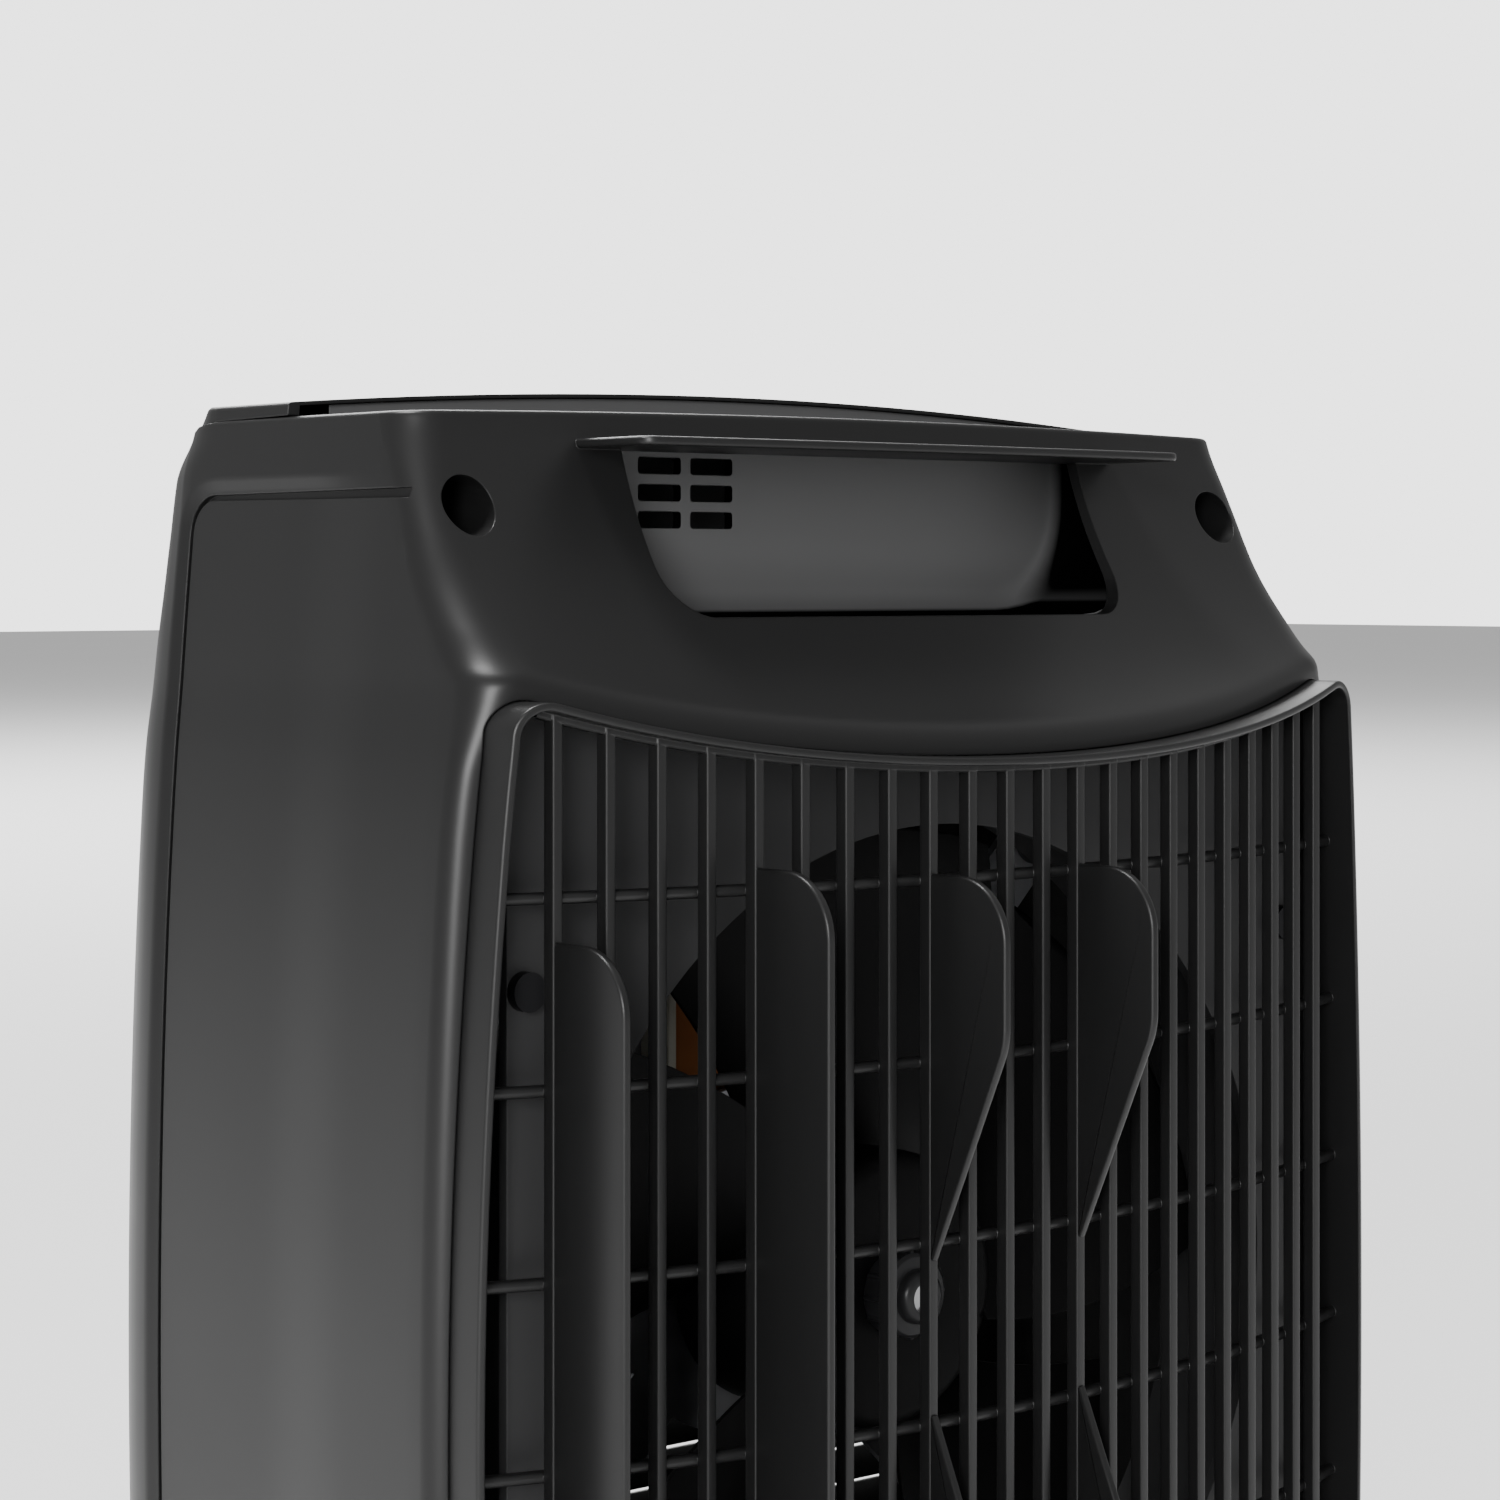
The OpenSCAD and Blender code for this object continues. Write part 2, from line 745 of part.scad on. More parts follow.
module shading_rings()
    color([0.72, 0.42, 0.25])
    at_axis() {
        shading_wire_places() along_y(1, stack_y0 - 1.2, stack_y1 + 1.2);
        for (s = [-1, 1], y = [stack_y0 - 1.2, stack_y1 + 1.2])
            translate([s > 0 ? shade_xs[0] : -shade_xs[1], y, s * shade_z]) rotate([0, 90, 0])
                cylinder(r = 1, h = shade_xs[1] - shade_xs[0]);
    }

module coil_bobbin()
    color([0.85, 0.83, 0.75])
    at_axis() difference() {
        union() {
            translate([-15.6, stack_y0 - 1.4, limb_low - 1.4])
                cube([31.2, stack_y1 - stack_y0 + 2.8, stack_high - limb_low + 2.8]);
            for (x = [-15.6, 14]) translate([x, stack_y0 - 8, limb_low - 7.5])
                cube([1.6, stack_y1 - stack_y0 + 15.6, stack_high - limb_low + 15]);
        }
        translate([-20, stack_y0, limb_low]) cube([40, stack_y1 - stack_y0, stack_high - limb_low]);
    }

module motor_coil()
    color([0.66, 0.36, 0.16])
    at_axis() difference() {
        translate([-13.9, stack_y0 - 7.4, limb_low - 7])
            cube([27.8, stack_y1 - stack_y0 + 14.4, stack_high - limb_low + 14]);
        translate([-20, stack_y0 - 1.4, limb_low - 1.4])
            cube([40, stack_y1 - stack_y0 + 2.8, stack_high - limb_low + 2.8]);
    }

// Cast bridge over one face of the stack: near is its face on the stack, out is +1 or -1.
module bearing_bracket(near, out, bar_gap, boss_end)
    difference() {
        union() {
            for (s = [-1, 1]) translate([s * bolt_x, 0, 0])
                along_y(5, min(near, near + out * bar_gap), max(near, near + out * bar_gap));
            translate([-27, min(near + out * (bar_gap - 3), near + out * bar_gap), -8])
                cube([54, 3, 16]);
            along_y(7.5, min(near + out * 2.5, boss_end), max(near + out * 2.5, boss_end));
        }
        along_y(4.5, near - 20, near + 20);
        for (s = [-1, 1]) translate([s * bolt_x, 0, 0]) along_y(bolt_r, near - 20, near + 20);
    }

module rear_bearing_bracket()
    color([0.7, 0.7, 0.72])
    at_axis() bearing_bracket(stack_y1, 1, spider_y - spider_t - stack_y1, -14);

module front_bearing_bracket()
    color([0.7, 0.7, 0.72])
    at_axis() bearing_bracket(stack_y0, -1, 8.4, -57.5);

module bushing(y0, y1)
    at_axis() difference() {
        along_y(4.5, y0, y1);
        along_y(shaft_r + running_gap, y0 - 1, y1 + 1);
    }

module rear_bushing() color(bronze) bushing(-23, -14.5);

module front_bushing() color(bronze) bushing(-57, -49);

module thrust_washers()
    color([0.9, 0.88, 0.8])
    at_axis() for (y = [stack_y0 - 1.6, stack_y1 + 0.6])
        difference() {
            along_y(5, y, y + 1);
            along_y(shaft_r, y - 1, y + 2);
        }

module motor_screws()
    color(steel)
    at_axis() for (s = [-1, 1]) translate([s * bolt_x, 0, 0]) {
        along_y(3.6, -57.4, -54.4);
        along_y(bolt_r - 0.05, -55, -11.5);
    }

module motor_nuts()
    color(steel)
    at_axis() for (s = [-1, 1]) translate([s * bolt_x, 0, 0])
        difference() {
            along_y(3.6, spider_y, spider_y + 3.2, 6);
            along_y(bolt_r - 0.05, spider_y - 1, spider_y + 5);
        }

module motor_spider()
    color([0.55, 0.56, 0.58])
    at_axis() difference() {
        union() {
            along_y(30, spider_y - spider_t, spider_y);
            for (a = [45, 135, 225, 315]) rotate([0, a, 0])
                translate([0, spider_y - spider_t, -6])
                    cube([post_dz * sqrt(2) - 3, spider_t, 12]);
            for (s = [-1, 1], t = [-1, 1]) translate([s * post_x, 0, t * post_dz])
                along_y(6, spider_y - spider_t, spider_y);
        }
        along_y(9, spider_y - 5, spider_y + 5);
        for (s = [-1, 1]) translate([s * bolt_x, 0, 0]) along_y(bolt_r, spider_y - 5, spider_y + 5);
        for (s = [-1, 1], t = [-1, 1]) translate([s * post_x, 0, t * post_dz])
            along_y(2, spider_y - 5, spider_y + 5);
    }

// ---------- fasteners ----------

screw_r = 1.95;

module case_screws()
    color(steel) screw_places() {
        difference() {
            along_y(3.8, seat_y, seat_y + 3);
            translate([-2.4, seat_y + 1.6, -0.5]) cube([4.8, 2, 1]);
            translate([-0.5, seat_y + 1.6, -2.4]) cube([1, 2, 4.8]);
        }
        along_y(screw_r, seat_y - 26, seat_y + 0.5);
    }

module spider_screws()
    color(steel) post_places() {
        along_y(3.4, spider_y - spider_t - 2, spider_y - spider_t);
        along_y(small_screw_r - 0.05, spider_y - spider_t - 1, spider_y + 12);
    }

module shroud_screws()
    color(steel) shroud_screw_places() {
        along_y(3, plate_y, plate_y + 1.9);
        along_y(small_screw_r - 0.05, plate_y - plate_t - 6, plate_y + 1);
    }

// ---------- wiring, gland and feet ----------

block_x = 40;
block_y = -34;
floor_z = base_z + wall;
lead_r = 1;

module terminal_block()
    color([0.82, 0.80, 0.72])
    difference() {
        translate([block_x, block_y, floor_z]) cube([30, 14, 13]);
        for (i = [0 : 2]) translate([block_x + 5 + i * 10, block_y + 7, floor_z + 6])
            cylinder(r = 2, h = 10);
    }

module cord_gland()
    color([0.07, 0.07, 0.07])
    translate([gland_x, 0, gland_z])
    difference() {
        union() {
            along_y(gland_pad_r - 0.4, gland_out_y, gland_out_y + 2.8);
            along_y(gland_hole_r - 0.05, gland_in_y - 2.5, gland_out_y + 1);
            along_y(gland_inner_r, gland_in_y - 2.6, gland_in_y);
        }
        along_y(gland_r, gland_in_y - 5, gland_out_y + 5);
    }

// A lead through points that differ along one axis at a time.
module lead(points)
    for (i = [0 : len(points) - 1]) {
        translate(points[i]) sphere(r = lead_r, $fn = 32);
        if (i > 0) {
            d = points[i] - points[i - 1];
            turn = d[0] != 0 ? [0, sign(d[0]) * 90, 0]
                 : d[1] != 0 ? [-sign(d[1]) * 90, 0, 0]
                 : d[2] < 0 ? [180, 0, 0] : [0, 0, 0];
            translate(points[i - 1]) rotate(turn) cylinder(r = lead_r, h = norm(d));
        }
    }

module switch_leads()
    color([0.75, 0.74, 0.70])
    for (i = [0 : 2]) {
        k = i * 2.6;
        lead([[block_x + 5 + i * 10, block_y + 7, 20.5], [block_x + 5 + i * 10, block_y + 7, 24 + k],
              [block_x + 5 + i * 10, -47, 24 + k], [87 - k, -47, 24 + k], [87 - k, -47, 206 - k],
              [6 - k, -47, 206 - k], [6 - k, -47, knob_z - switch_half_h - lead_r]]);
    }

module motor_leads()
    color([0.55, 0.10, 0.08])
    for (i = [0, 1]) {
        x = -9 + i * 3.5 - 1.5;
        lead([[x, -51, knob_z - switch_half_h - lead_r], [x, -51, 178],
              [x, -36, 178], [x, -36, axis_z + stack_high + 8.2]]);
    }

module rubber_feet()
    color([0.06, 0.06, 0.06])
    foot_places() {
        cylinder(r = foot_r, h = base_z);
        cylinder(r = stem_r, h = floor_z + 0.5);
        translate([0, 0, floor_z + 0.05]) cylinder(r = 3, h = 1.2);
    }

rear_shell();
front_bezel();
front_grille();
rear_grille();
cord_fins();
inlet_shroud();
handle_pocket();
control_cover();
control_panel();
speed_knob();
switch_shaft();
rotary_switch();
switch_nut();
fan_blade();
hub_nut();
motor_shaft();
rotor_core();
stator_core();
shading_rings();
coil_bobbin();
motor_coil();
rear_bearing_bracket();
front_bearing_bracket();
rear_bushing();
front_bushing();
thrust_washers();
motor_screws();
motor_nuts();
motor_spider();
spider_screws();
shroud_screws();
case_screws();
terminal_block();
cord_gland();
switch_leads();
motor_leads();
rubber_feet();
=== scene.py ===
"""Compact box fan seen from behind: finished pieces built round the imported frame.

Shapes are worked out in millimetres in the object's own frame: front -Y, rear +Y, up +Z.
"""

import json
from math import acos, atan2, cos, degrees, hypot, pi, radians, sin, sqrt, tan

import bmesh
import bpy
from mathutils import Matrix, Vector


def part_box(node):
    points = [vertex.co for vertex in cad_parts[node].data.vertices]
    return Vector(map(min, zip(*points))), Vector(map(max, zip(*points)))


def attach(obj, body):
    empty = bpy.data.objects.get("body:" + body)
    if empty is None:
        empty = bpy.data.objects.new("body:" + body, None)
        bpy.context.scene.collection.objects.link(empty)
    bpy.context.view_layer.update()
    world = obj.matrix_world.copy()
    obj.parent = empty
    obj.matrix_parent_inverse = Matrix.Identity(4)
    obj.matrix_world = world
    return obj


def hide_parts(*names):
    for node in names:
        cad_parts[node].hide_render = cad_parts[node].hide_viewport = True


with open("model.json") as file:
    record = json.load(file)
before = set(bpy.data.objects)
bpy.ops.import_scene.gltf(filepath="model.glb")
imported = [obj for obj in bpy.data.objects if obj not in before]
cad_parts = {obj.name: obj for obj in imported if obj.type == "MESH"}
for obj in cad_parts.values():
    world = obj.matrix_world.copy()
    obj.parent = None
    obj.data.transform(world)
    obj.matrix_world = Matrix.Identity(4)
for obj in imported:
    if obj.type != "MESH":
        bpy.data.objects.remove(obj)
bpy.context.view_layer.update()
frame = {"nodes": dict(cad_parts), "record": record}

MM = 0.001


def cad_mm(node):
    """Lowest and highest corner of a CAD node in millimetres."""
    low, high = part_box(node)
    return [v / MM for v in low], [v / MM for v in high]


def joint_mm(name):
    """Position of a joint in millimetres."""
    joint = next(j for j in frame["record"]["behaviour"]["joints"] if j["name"] == name)
    return [v / MM for v in joint["pos_m"]]


# ---------------- sizes from the frame

SHELL_LOW, SHELL_HIGH = cad_mm("rear_shell")
BEZEL_HIGH = cad_mm("front_bezel")[1]
FRONT_LOW = cad_mm("front_grille")[0]
PLATE_HIGH = cad_mm("inlet_shroud")[1]
PANEL_LOW, PANEL_HIGH = cad_mm("control_panel")
COVER_LOW, COVER_HIGH = cad_mm("control_cover")
KNOB_LOW, KNOB_HIGH = cad_mm("speed_knob")
BLADE_HIGH = cad_mm("fan_blade")[1]
NUT_LOW, NUT_HIGH = cad_mm("hub_nut")
GLAND_LOW, GLAND_HIGH = cad_mm("cord_gland")
FEET_LOW, FEET_HIGH = cad_mm("rubber_feet")
AXIS_Z = joint_mm("fan_spin")[2]
KNOB_Z = joint_mm("knob_turn")[2]

# The casing.
WALL = 2.2
SEAM = 0.14  # half of the gap between two mouldings
BASE_Z = SHELL_LOW[2]
TOP_Z = SHELL_HIGH[2]
TOP_R = 3400  # curve of the shell's top across its width
TOP_BLEND_Z = 250  # the levels take on the top's curve from here up
CROWN_Z = BEZEL_HIGH[2]
CROWN_R = 1125  # the same two values for the bezel's crown
CROWN_BLEND_Z = 236
HALF_W = SHELL_HIGH[0]
WIDEST_Z = 110
SIDE_R = 1500  # bulge of the side walls over their height
FOOT_R = 2.5  # rounding of the bottom edge
EDGE_R = 0.7  # rounding of the top edge
# Draft of the side walls in degrees against height: they close in towards the rear higher up.
DRAFT = [(0, 0.2), (190, 0.3), (206, 0.7), (219, 1.8), (300, 1.8)]
PARTING_Y = -58
LIP_Y = BEZEL_HIGH[1]  # rear edge of the crown
LIP_T = 0.65  # the crown's thickness there
CROWN_ROOM_Z = CROWN_Z + WALL - LIP_T
CORNER_R = 20
# The middle of the front corners' rounding is never behind these, against height.
CORNER_Y = [(0, -45), (250, -45), (258, -41.5), (300, -41.5)]
# Front face against height: upright at first, then leaning back to the crown.
FOREHEAD = [(0, -68.2), (199, -68.2), (207, -68), (215.6, -67.25), (224, -66.75), (232, -65.9),
            (240.6, -65.2), (249, -64.3), (253, -63.1), (257, -60.8), (261.2, -57.25), (266.5, -50)]
# Radius of the upright rear corners against height.
REAR_CORNER = [(0, 4.5), (204, 4.5), (213, 6.5), (221, 9), (227, 8), (235, 7.5), (246, 6), (259, 7.5),
               (270, 7.5)]
# Cutters end this far out, beyond the object on every side.
FAR_X = 130
FAR_Y = 160
UNDER_Z = -5
OVER_Z = 300
# Side profile of the joint between the shell and the bezel.
BROW = [(PARTING_Y, UNDER_Z), (PARTING_Y, 243), (-56.8, 249), (-55.2, 253), (-52.9, 255.8),
        (-50, 257.6), (-46, 258.9), (-40, 259.6), (LIP_Y, 260), (LIP_Y, OVER_Z)]

# The bowed rear face and the concave flare over it.
BOW_HALF_W = 92
BOW_H = 15.6
BOW_EDGE_Y = 38
BOW_R = (BOW_HALF_W ** 2 + BOW_H ** 2) / (2 * BOW_H)
BOW_Y = BOW_EDGE_Y + BOW_H - BOW_R
LEDGE = 3  # the casing's rear face is this far in front of the bars
FLARE_R = 75
FLARE_Y = 85.3
FLARE_Z = 276.4
BEAD_R = 4.5  # rounding between the flare and the casing's rear face

# The grille's rim.
RIM_INSET = [(0, 3.1), (120, 3.1), (195, 4.2), (214, 4.8)]  # from the casing's side, against height
RIM_GAP = 2.2  # from the flare, in the middle
RIM_GAP_CLOSING = 1.9  # how much narrower that gap is at the ends
RIM_T = 1.3
RIM_PROUD = 3.5
RIM_DEEP = 6.9
RIM_LOW_Z = 23
RIM_CORNER_R = 5.5

# Screw wells, hand opening, slit for the rear cover and gland.
SCREW_X = 83.2
SCREW_ZS = (13.5, 245.3)
WELL_R = 4.7
SEAT_Y = -18  # where the case screws' heads rest
GRIP_HALF_W = 51
GRIP_LOW_Z = 228
GRIP_HIGH_Z = 254.6
SLIT_HALF_W = 76.7
GLAND_X = (GLAND_LOW[0] + GLAND_HIGH[0]) / 2
GLAND_Z = (GLAND_LOW[2] + GLAND_HIGH[2]) / 2
WINDOW_FIT = 0.1
LOUVRE_FIT = 0.3
# Half width, lowest and highest z and corner radius of the front's two openings.
WINDOW = (PANEL_HIGH[0] + WINDOW_FIT, PANEL_LOW[2] - WINDOW_FIT, PANEL_HIGH[2] + WINDOW_FIT, 8)
OUTLET = (86, 26, 206, 12)


# ---------------- curves of the casing

def ramp(points, at):
    """Smooth curve through (position, value) points."""
    if at <= points[0][0]:
        return points[0][1]
    for i in range(1, len(points)):
        (a, va), (b, vb) = points[i - 1], points[i]
        if at <= b:
            before = points[max(i - 2, 0)]
            after = points[min(i + 1, len(points) - 1)]
            ta = (vb - before[1]) / (b - before[0]) * (b - a)
            tb = (after[1] - va) / (after[0] - a) * (b - a)
            t = (at - a) / (b - a)
            return ((2 * t ** 3 - 3 * t ** 2 + 1) * va + (t ** 3 - 2 * t ** 2 + t) * ta
                    + (3 * t ** 2 - 2 * t ** 3) * vb + (t ** 3 - t ** 2) * tb)
    return points[-1][1]


def smooth(t):
    """Soft change from 0 to 1 while t goes from 0 to 1."""
    t = min(max(t, 0.0), 1.0)
    return t * t * (3 - 2 * t)


def spread(a, b, count):
    """Count + 1 evenly spaced values from a to b."""
    return [a + (b - a) * i / count for i in range(count + 1)]


def half_width(z):
    """Half of the casing's width at the parting plane, against height."""
    return HALF_W - SIDE_R + sqrt(SIDE_R ** 2 - (z - WIDEST_Z) ** 2)


def draft(y, z):
    """How far the side wall has closed in at y."""
    return (y - PARTING_Y) * tan(radians(ramp(DRAFT, z)))


def bow(x, off=0.0):
    """Face of the grille bars at x, or a surface that far behind it."""
    return BOW_Y + sqrt((BOW_R + off) ** 2 - x * x)


def flare(z, off=0.0):
    """The concave flare's y at a height, or that of a surface that far under it."""
    return FLARE_Y - sqrt(max((FLARE_R + off) ** 2 - (FLARE_Z - z) ** 2, 0.0))


def rear_face(x, z, inset):
    """The casing's rear surface: bowed face, rounded bead, concave flare."""
    face = bow(x, -LEDGE - inset)
    bead = BEAD_R - inset
    big = FLARE_R + inset
    low_z = FLARE_Z - sqrt((big + bead) ** 2 - (FLARE_Y - face + bead) ** 2)
    high_z = FLARE_Z + (low_z - FLARE_Z) * big / (big + bead)
    if z <= low_z:
        return face
    if z < high_z:
        return face - bead + sqrt(max(bead ** 2 - (z - low_z) ** 2, 0.0))
    return flare(z, inset)


# ---------------- mesh building

def turns(steps):
    """Angles of equal steps round a full turn."""
    return [2 * pi * k / steps for k in range(steps)]


def centred(count, pitch):
    """Evenly spaced places on both sides of zero."""
    return [(i - (count - 1) / 2) * pitch for i in range(count)]


def skin(bm, rings, closed=False):
    """Faces between rings of equally many vertices."""
    count = len(rings[0])
    pairs = list(zip(rings, rings[1:]))
    if closed:
        pairs.append((rings[-1], rings[0]))
    for a, b in pairs:
        for i in range(count):
            j = (i + 1) % count
            bm.faces.new((a[i], a[j], b[j], b[i]))


def loft(bm, loops, closed=False):
    """Skins a list of equally long closed loops; open ends get caps unless closed on itself."""
    rings = [[bm.verts.new(p) for p in loop] for loop in loops]
    skin(bm, rings, closed)
    if not closed:
        bm.faces.new(rings[0][::-1])
        bm.faces.new(rings[-1])


def rounded_rect(x0, x1, z0, z1, radii, steps=6):
    """Counter-clockwise outline in (x, z); radii are for the lower and the upper corners."""
    low_r, high_r = radii
    corners = [(x1, z0, low_r, -90, -1, 1), (x1, z1, high_r, 0, -1, -1),
               (x0, z1, high_r, 90, 1, -1), (x0, z0, low_r, 180, 1, 1)]
    out = []
    for x, z, r, start, sx, sz in corners:
        for k in range(steps + 1):
            a = radians(start + 90 * k / steps)
            out.append((x + sx * r + r * cos(a), z + sz * r + r * sin(a)))
    return out


def opening(sizes, grow=0.0, steps=6):
    """Outline of one of the front's openings, larger all round by grow."""
    half_w, low_z, high_z, r = sizes
    return rounded_rect(-half_w - grow, half_w + grow, low_z - grow, high_z + grow,
                        (r + grow, r + grow), steps)


def prism(bm, layers):
    """Solid through outlines in (x, z), each at its own y: layers of (y, outline)."""
    loft(bm, [[(x, y, z) for x, z in outline] for y, outline in layers])


def lathe(bm, profile, centre, steps=96):
    """Revolves a closed (radius, y) profile about an axis along Y through centre (x, z)."""
    loft(bm, [[(centre[0] + r * cos(a), y, centre[1] + r * sin(a)) for r, y in profile]
              for a in turns(steps)], closed=True)


def drum(bm, profile, centre, steps=64):
    """Revolves an open (radius, y) profile whose ends are closed by flat discs."""
    loft(bm, [[(centre[0] + r * cos(a), y, centre[1] + r * sin(a)) for a in turns(steps)]
              for r, y in profile])


def cylinder(bm, x, z, radius, y0, y1, steps=48):
    """Cylinder along Y."""
    drum(bm, [(radius, y0), (radius, y1)], (x, z), steps)


def box(bm, x0, x1, y0, y1, z0, z1, round_r=0.0):
    """Upright box; its edges along Y are rounded when round_r is given."""
    outline = [(x1, z0), (x1, z1), (x0, z1), (x0, z0)]
    if round_r:
        outline = rounded_rect(x0, x1, z0, z1, (round_r, round_r), 3)
    prism(bm, [(y0, outline), (y1, outline)])


def both_sides(bm, x0, x1, y0, y1, z0, z1):
    """The same box at the left and at the right of the middle."""
    box(bm, -x1, -x0, y0, y1, z0, z1)
    box(bm, x0, x1, y0, y1, z0, z1)


def arc(centre, radius, start, end, steps):
    """Points of an arc in a plane; angles in degrees."""
    angles = [radians(a) for a in spread(start, end, steps)]
    return [(centre[0] + radius * cos(a), centre[1] + radius * sin(a)) for a in angles]


def rounding(radius, start, end, steps):
    """Points of a rounded edge, each as its distances from the two faces that meet there."""
    return [(radius - x, radius - y) for x, y in arc((0, 0), radius, start, end, steps)]


def soft_slab(thickness, soft):
    """Layers of a slab with rounded edges: (place across it, inset of its outline)."""
    flat = thickness / 2 - soft
    return [(up + (flat if up > 0 else -flat), soft - out) for out, up in arc((0, 0), soft, -90, 90, 8)]


def ring_wall(bm, outline, section, face):
    """Wall along a closed (x, z) outline; its section is (inset, depth behind face(x)) points."""
    rails = [inset_outline(outline, inset) for inset, _ in section]
    loops = []
    for points in zip(*rails):
        loops.append([(x, face(x) + depth, z) for (x, z), (_, depth) in zip(points, section)])
    loft(bm, loops, closed=True)


def inset_outline(outline, by):
    """Moves each point of a dense closed outline inwards along its own normal."""
    area = sum(a[0] * b[1] - b[0] * a[1] for a, b in zip(outline, outline[1:] + outline[:1]))
    side = 1 if area > 0 else -1
    out = []
    for i, p in enumerate(outline):
        before, after = outline[i - 1], outline[(i + 1) % len(outline)]
        a = Vector((p[0] - before[0], p[1] - before[1])).normalized()
        b = Vector((after[0] - p[0], after[1] - p[1])).normalized()
        na, nb = Vector((-a.y, a.x)), Vector((-b.y, b.x))
        n = (na + nb).normalized()
        shift = by * side / max(n.dot(na), 0.5)
        out.append((p[0] + n.x * shift, p[1] + n.y * shift))
    return out


def place_object(name, data):
    """Object in the scene for some data."""
    obj = bpy.data.objects.new(name, data)
    bpy.context.scene.collection.objects.link(obj)
    return obj


def new_solid(name, build):
    """Object in millimetres made by a function that fills a bmesh."""
    bm = bmesh.new()
    build(bm)
    bmesh.ops.recalc_face_normals(bm, faces=bm.faces)
    mesh = bpy.data.meshes.new(name)
    bm.to_mesh(mesh)
    bm.free()
    return place_object(name, mesh)


def plate(name, outline, y0, y1):
    """Object of one (x, z) outline drawn out along Y."""
    return new_solid(name, lambda bm: prism(bm, [(y0, outline), (y1, outline)]))


def rod(name, x, z, radius, y0, y1, steps=48):
    """Object of one cylinder along Y."""
    return new_solid(name, lambda bm: cylinder(bm, x, z, radius, y0, y1, steps))


def block(name, *sides, **options):
    """Object of one box."""
    return new_solid(name, lambda bm: box(bm, *sides, **options))


def combine(base, operation, *tools):
    """Boolean of closed solids; the tools are used up."""
    for tool in tools:
        mod = base.modifiers.new("cut", "BOOLEAN")
        mod.operation = operation
        mod.solver = "MANIFOLD"
        mod.object = tool
    deps = bpy.context.evaluated_depsgraph_get()
    mesh = bpy.data.meshes.new_from_object(base.evaluated_get(deps))
    base.modifiers.clear()
    old = base.data
    base.data = mesh
    bpy.data.meshes.remove(old)
    for tool in tools:
        bpy.data.objects.remove(tool)
    return base


def finish_piece(obj, material, node, sharp=35.0, body="casing"):
    """Brings a piece to metres, shades it, gives it its material, hangs it on its body and hides the CAD
    node it stands for.
    """
    mesh = obj.data
    mesh.transform(Matrix.Scale(MM, 4))
    bm = bmesh.new()
    bm.from_mesh(mesh)
    bmesh.ops.remove_doubles(bm, verts=bm.verts, dist=0.004 * MM)
    bm.to_mesh(mesh)
    bm.free()
    mesh.shade_smooth()
    mesh.set_sharp_from_angle(angle=radians(sharp))
    mesh.materials.clear()
    mesh.materials.append(material)
    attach(obj, body)
    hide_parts(node)


# ---------------- materials

def set_inputs(node, values):
    """Sets inputs by name; an underscore stands for the space in an input's name."""
    for name, value in values.items():
        node.inputs[name.replace("_", " ")].default_value = value


def new_material(name, **values):
    """Material and its shader with some inputs set."""
    mat = bpy.data.materials.new(name)
    mat.use_nodes = True
    shader = mat.node_tree.nodes["Principled BSDF"]
    set_inputs(shader, values)
    return mat, shader


def add_node(mat, kind, **values):
    """New shader node with some inputs set."""
    node = mat.node_tree.nodes.new("ShaderNode" + kind)
    set_inputs(node, values)
    return node


def math_node(mat, operation):
    """New node for one calculation."""
    node = add_node(mat, "Math")
    node.operation = operation
    return node


def colour_mix(mat, **values):
    """New node that mixes the colours A and B."""
    node = add_node(mat, "Mix")
    node.data_type = "RGBA"
    set_inputs(node, values)
    return node


def wire(source, output, target, socket):
    """Links an output of one node to an input of another."""
    source.id_data.links.new(source.outputs[output], target.inputs[socket])


def uneven_colour(mat, shader, noise, dark, light):
    """Base colour that wanders between two tones."""
    tint = colour_mix(mat, A=(*dark, 1), B=(*light, 1))
    wire(noise, "Fac", tint, "Factor")
    wire(tint, "Result", shader, "Base Color")
    return tint


def uneven_gloss(mat, shader, noise, low, high, **window):
    """Roughness that wanders between two values."""
    gloss = add_node(mat, "MapRange", To_Min=low, To_Max=high, **window)
    wire(noise, "Fac", gloss, "Value")
    wire(gloss, "Result", shader, "Roughness")


def surface_bump(mat, shader, noise, strength, height):
    """Fine relief from a noise; height in millimetres."""
    bump = add_node(mat, "Bump", Strength=strength, Distance=height * MM)
    wire(noise, "Fac", bump, "Height")
    wire(bump, "Normal", shader, "Normal")
    return bump


def paint_side_shade(mat, shader, tint, spec):
    """Painted shade: walls that face sideways and faces that look up (the floor) are painted black, with a
    soft change into the back wall, and their specular level drops to nothing.
    """
    geometry = add_node(mat, "NewGeometry")
    parts = add_node(mat, "SeparateXYZ")
    size = math_node(mat, "ABSOLUTE")
    side = add_node(mat, "MapRange", From_Min=0.22, From_Max=0.62)
    under = add_node(mat, "MapRange", From_Min=0.8, From_Max=0.9)
    dark = math_node(mat, "MAXIMUM")
    shine = add_node(mat, "MapRange", To_Min=spec, To_Max=0.0)
    blend = colour_mix(mat, B=(0.001, 0.001, 0.001, 1))
    wire(geometry, "Normal", parts, "Vector")
    wire(parts, "X", size, 0)
    wire(size, "Value", side, "Value")
    wire(parts, "Z", under, "Value")
    wire(side, "Result", dark, 0)
    wire(under, "Result", dark, 1)
    wire(dark, "Value", shine, "Value")
    wire(dark, "Value", blend, "Factor")
    wire(tint, "Result", blend, "A")
    wire(blend, "Result", shader, "Base Color")
    wire(shine, "Result", shader, "Specular IOR Level")


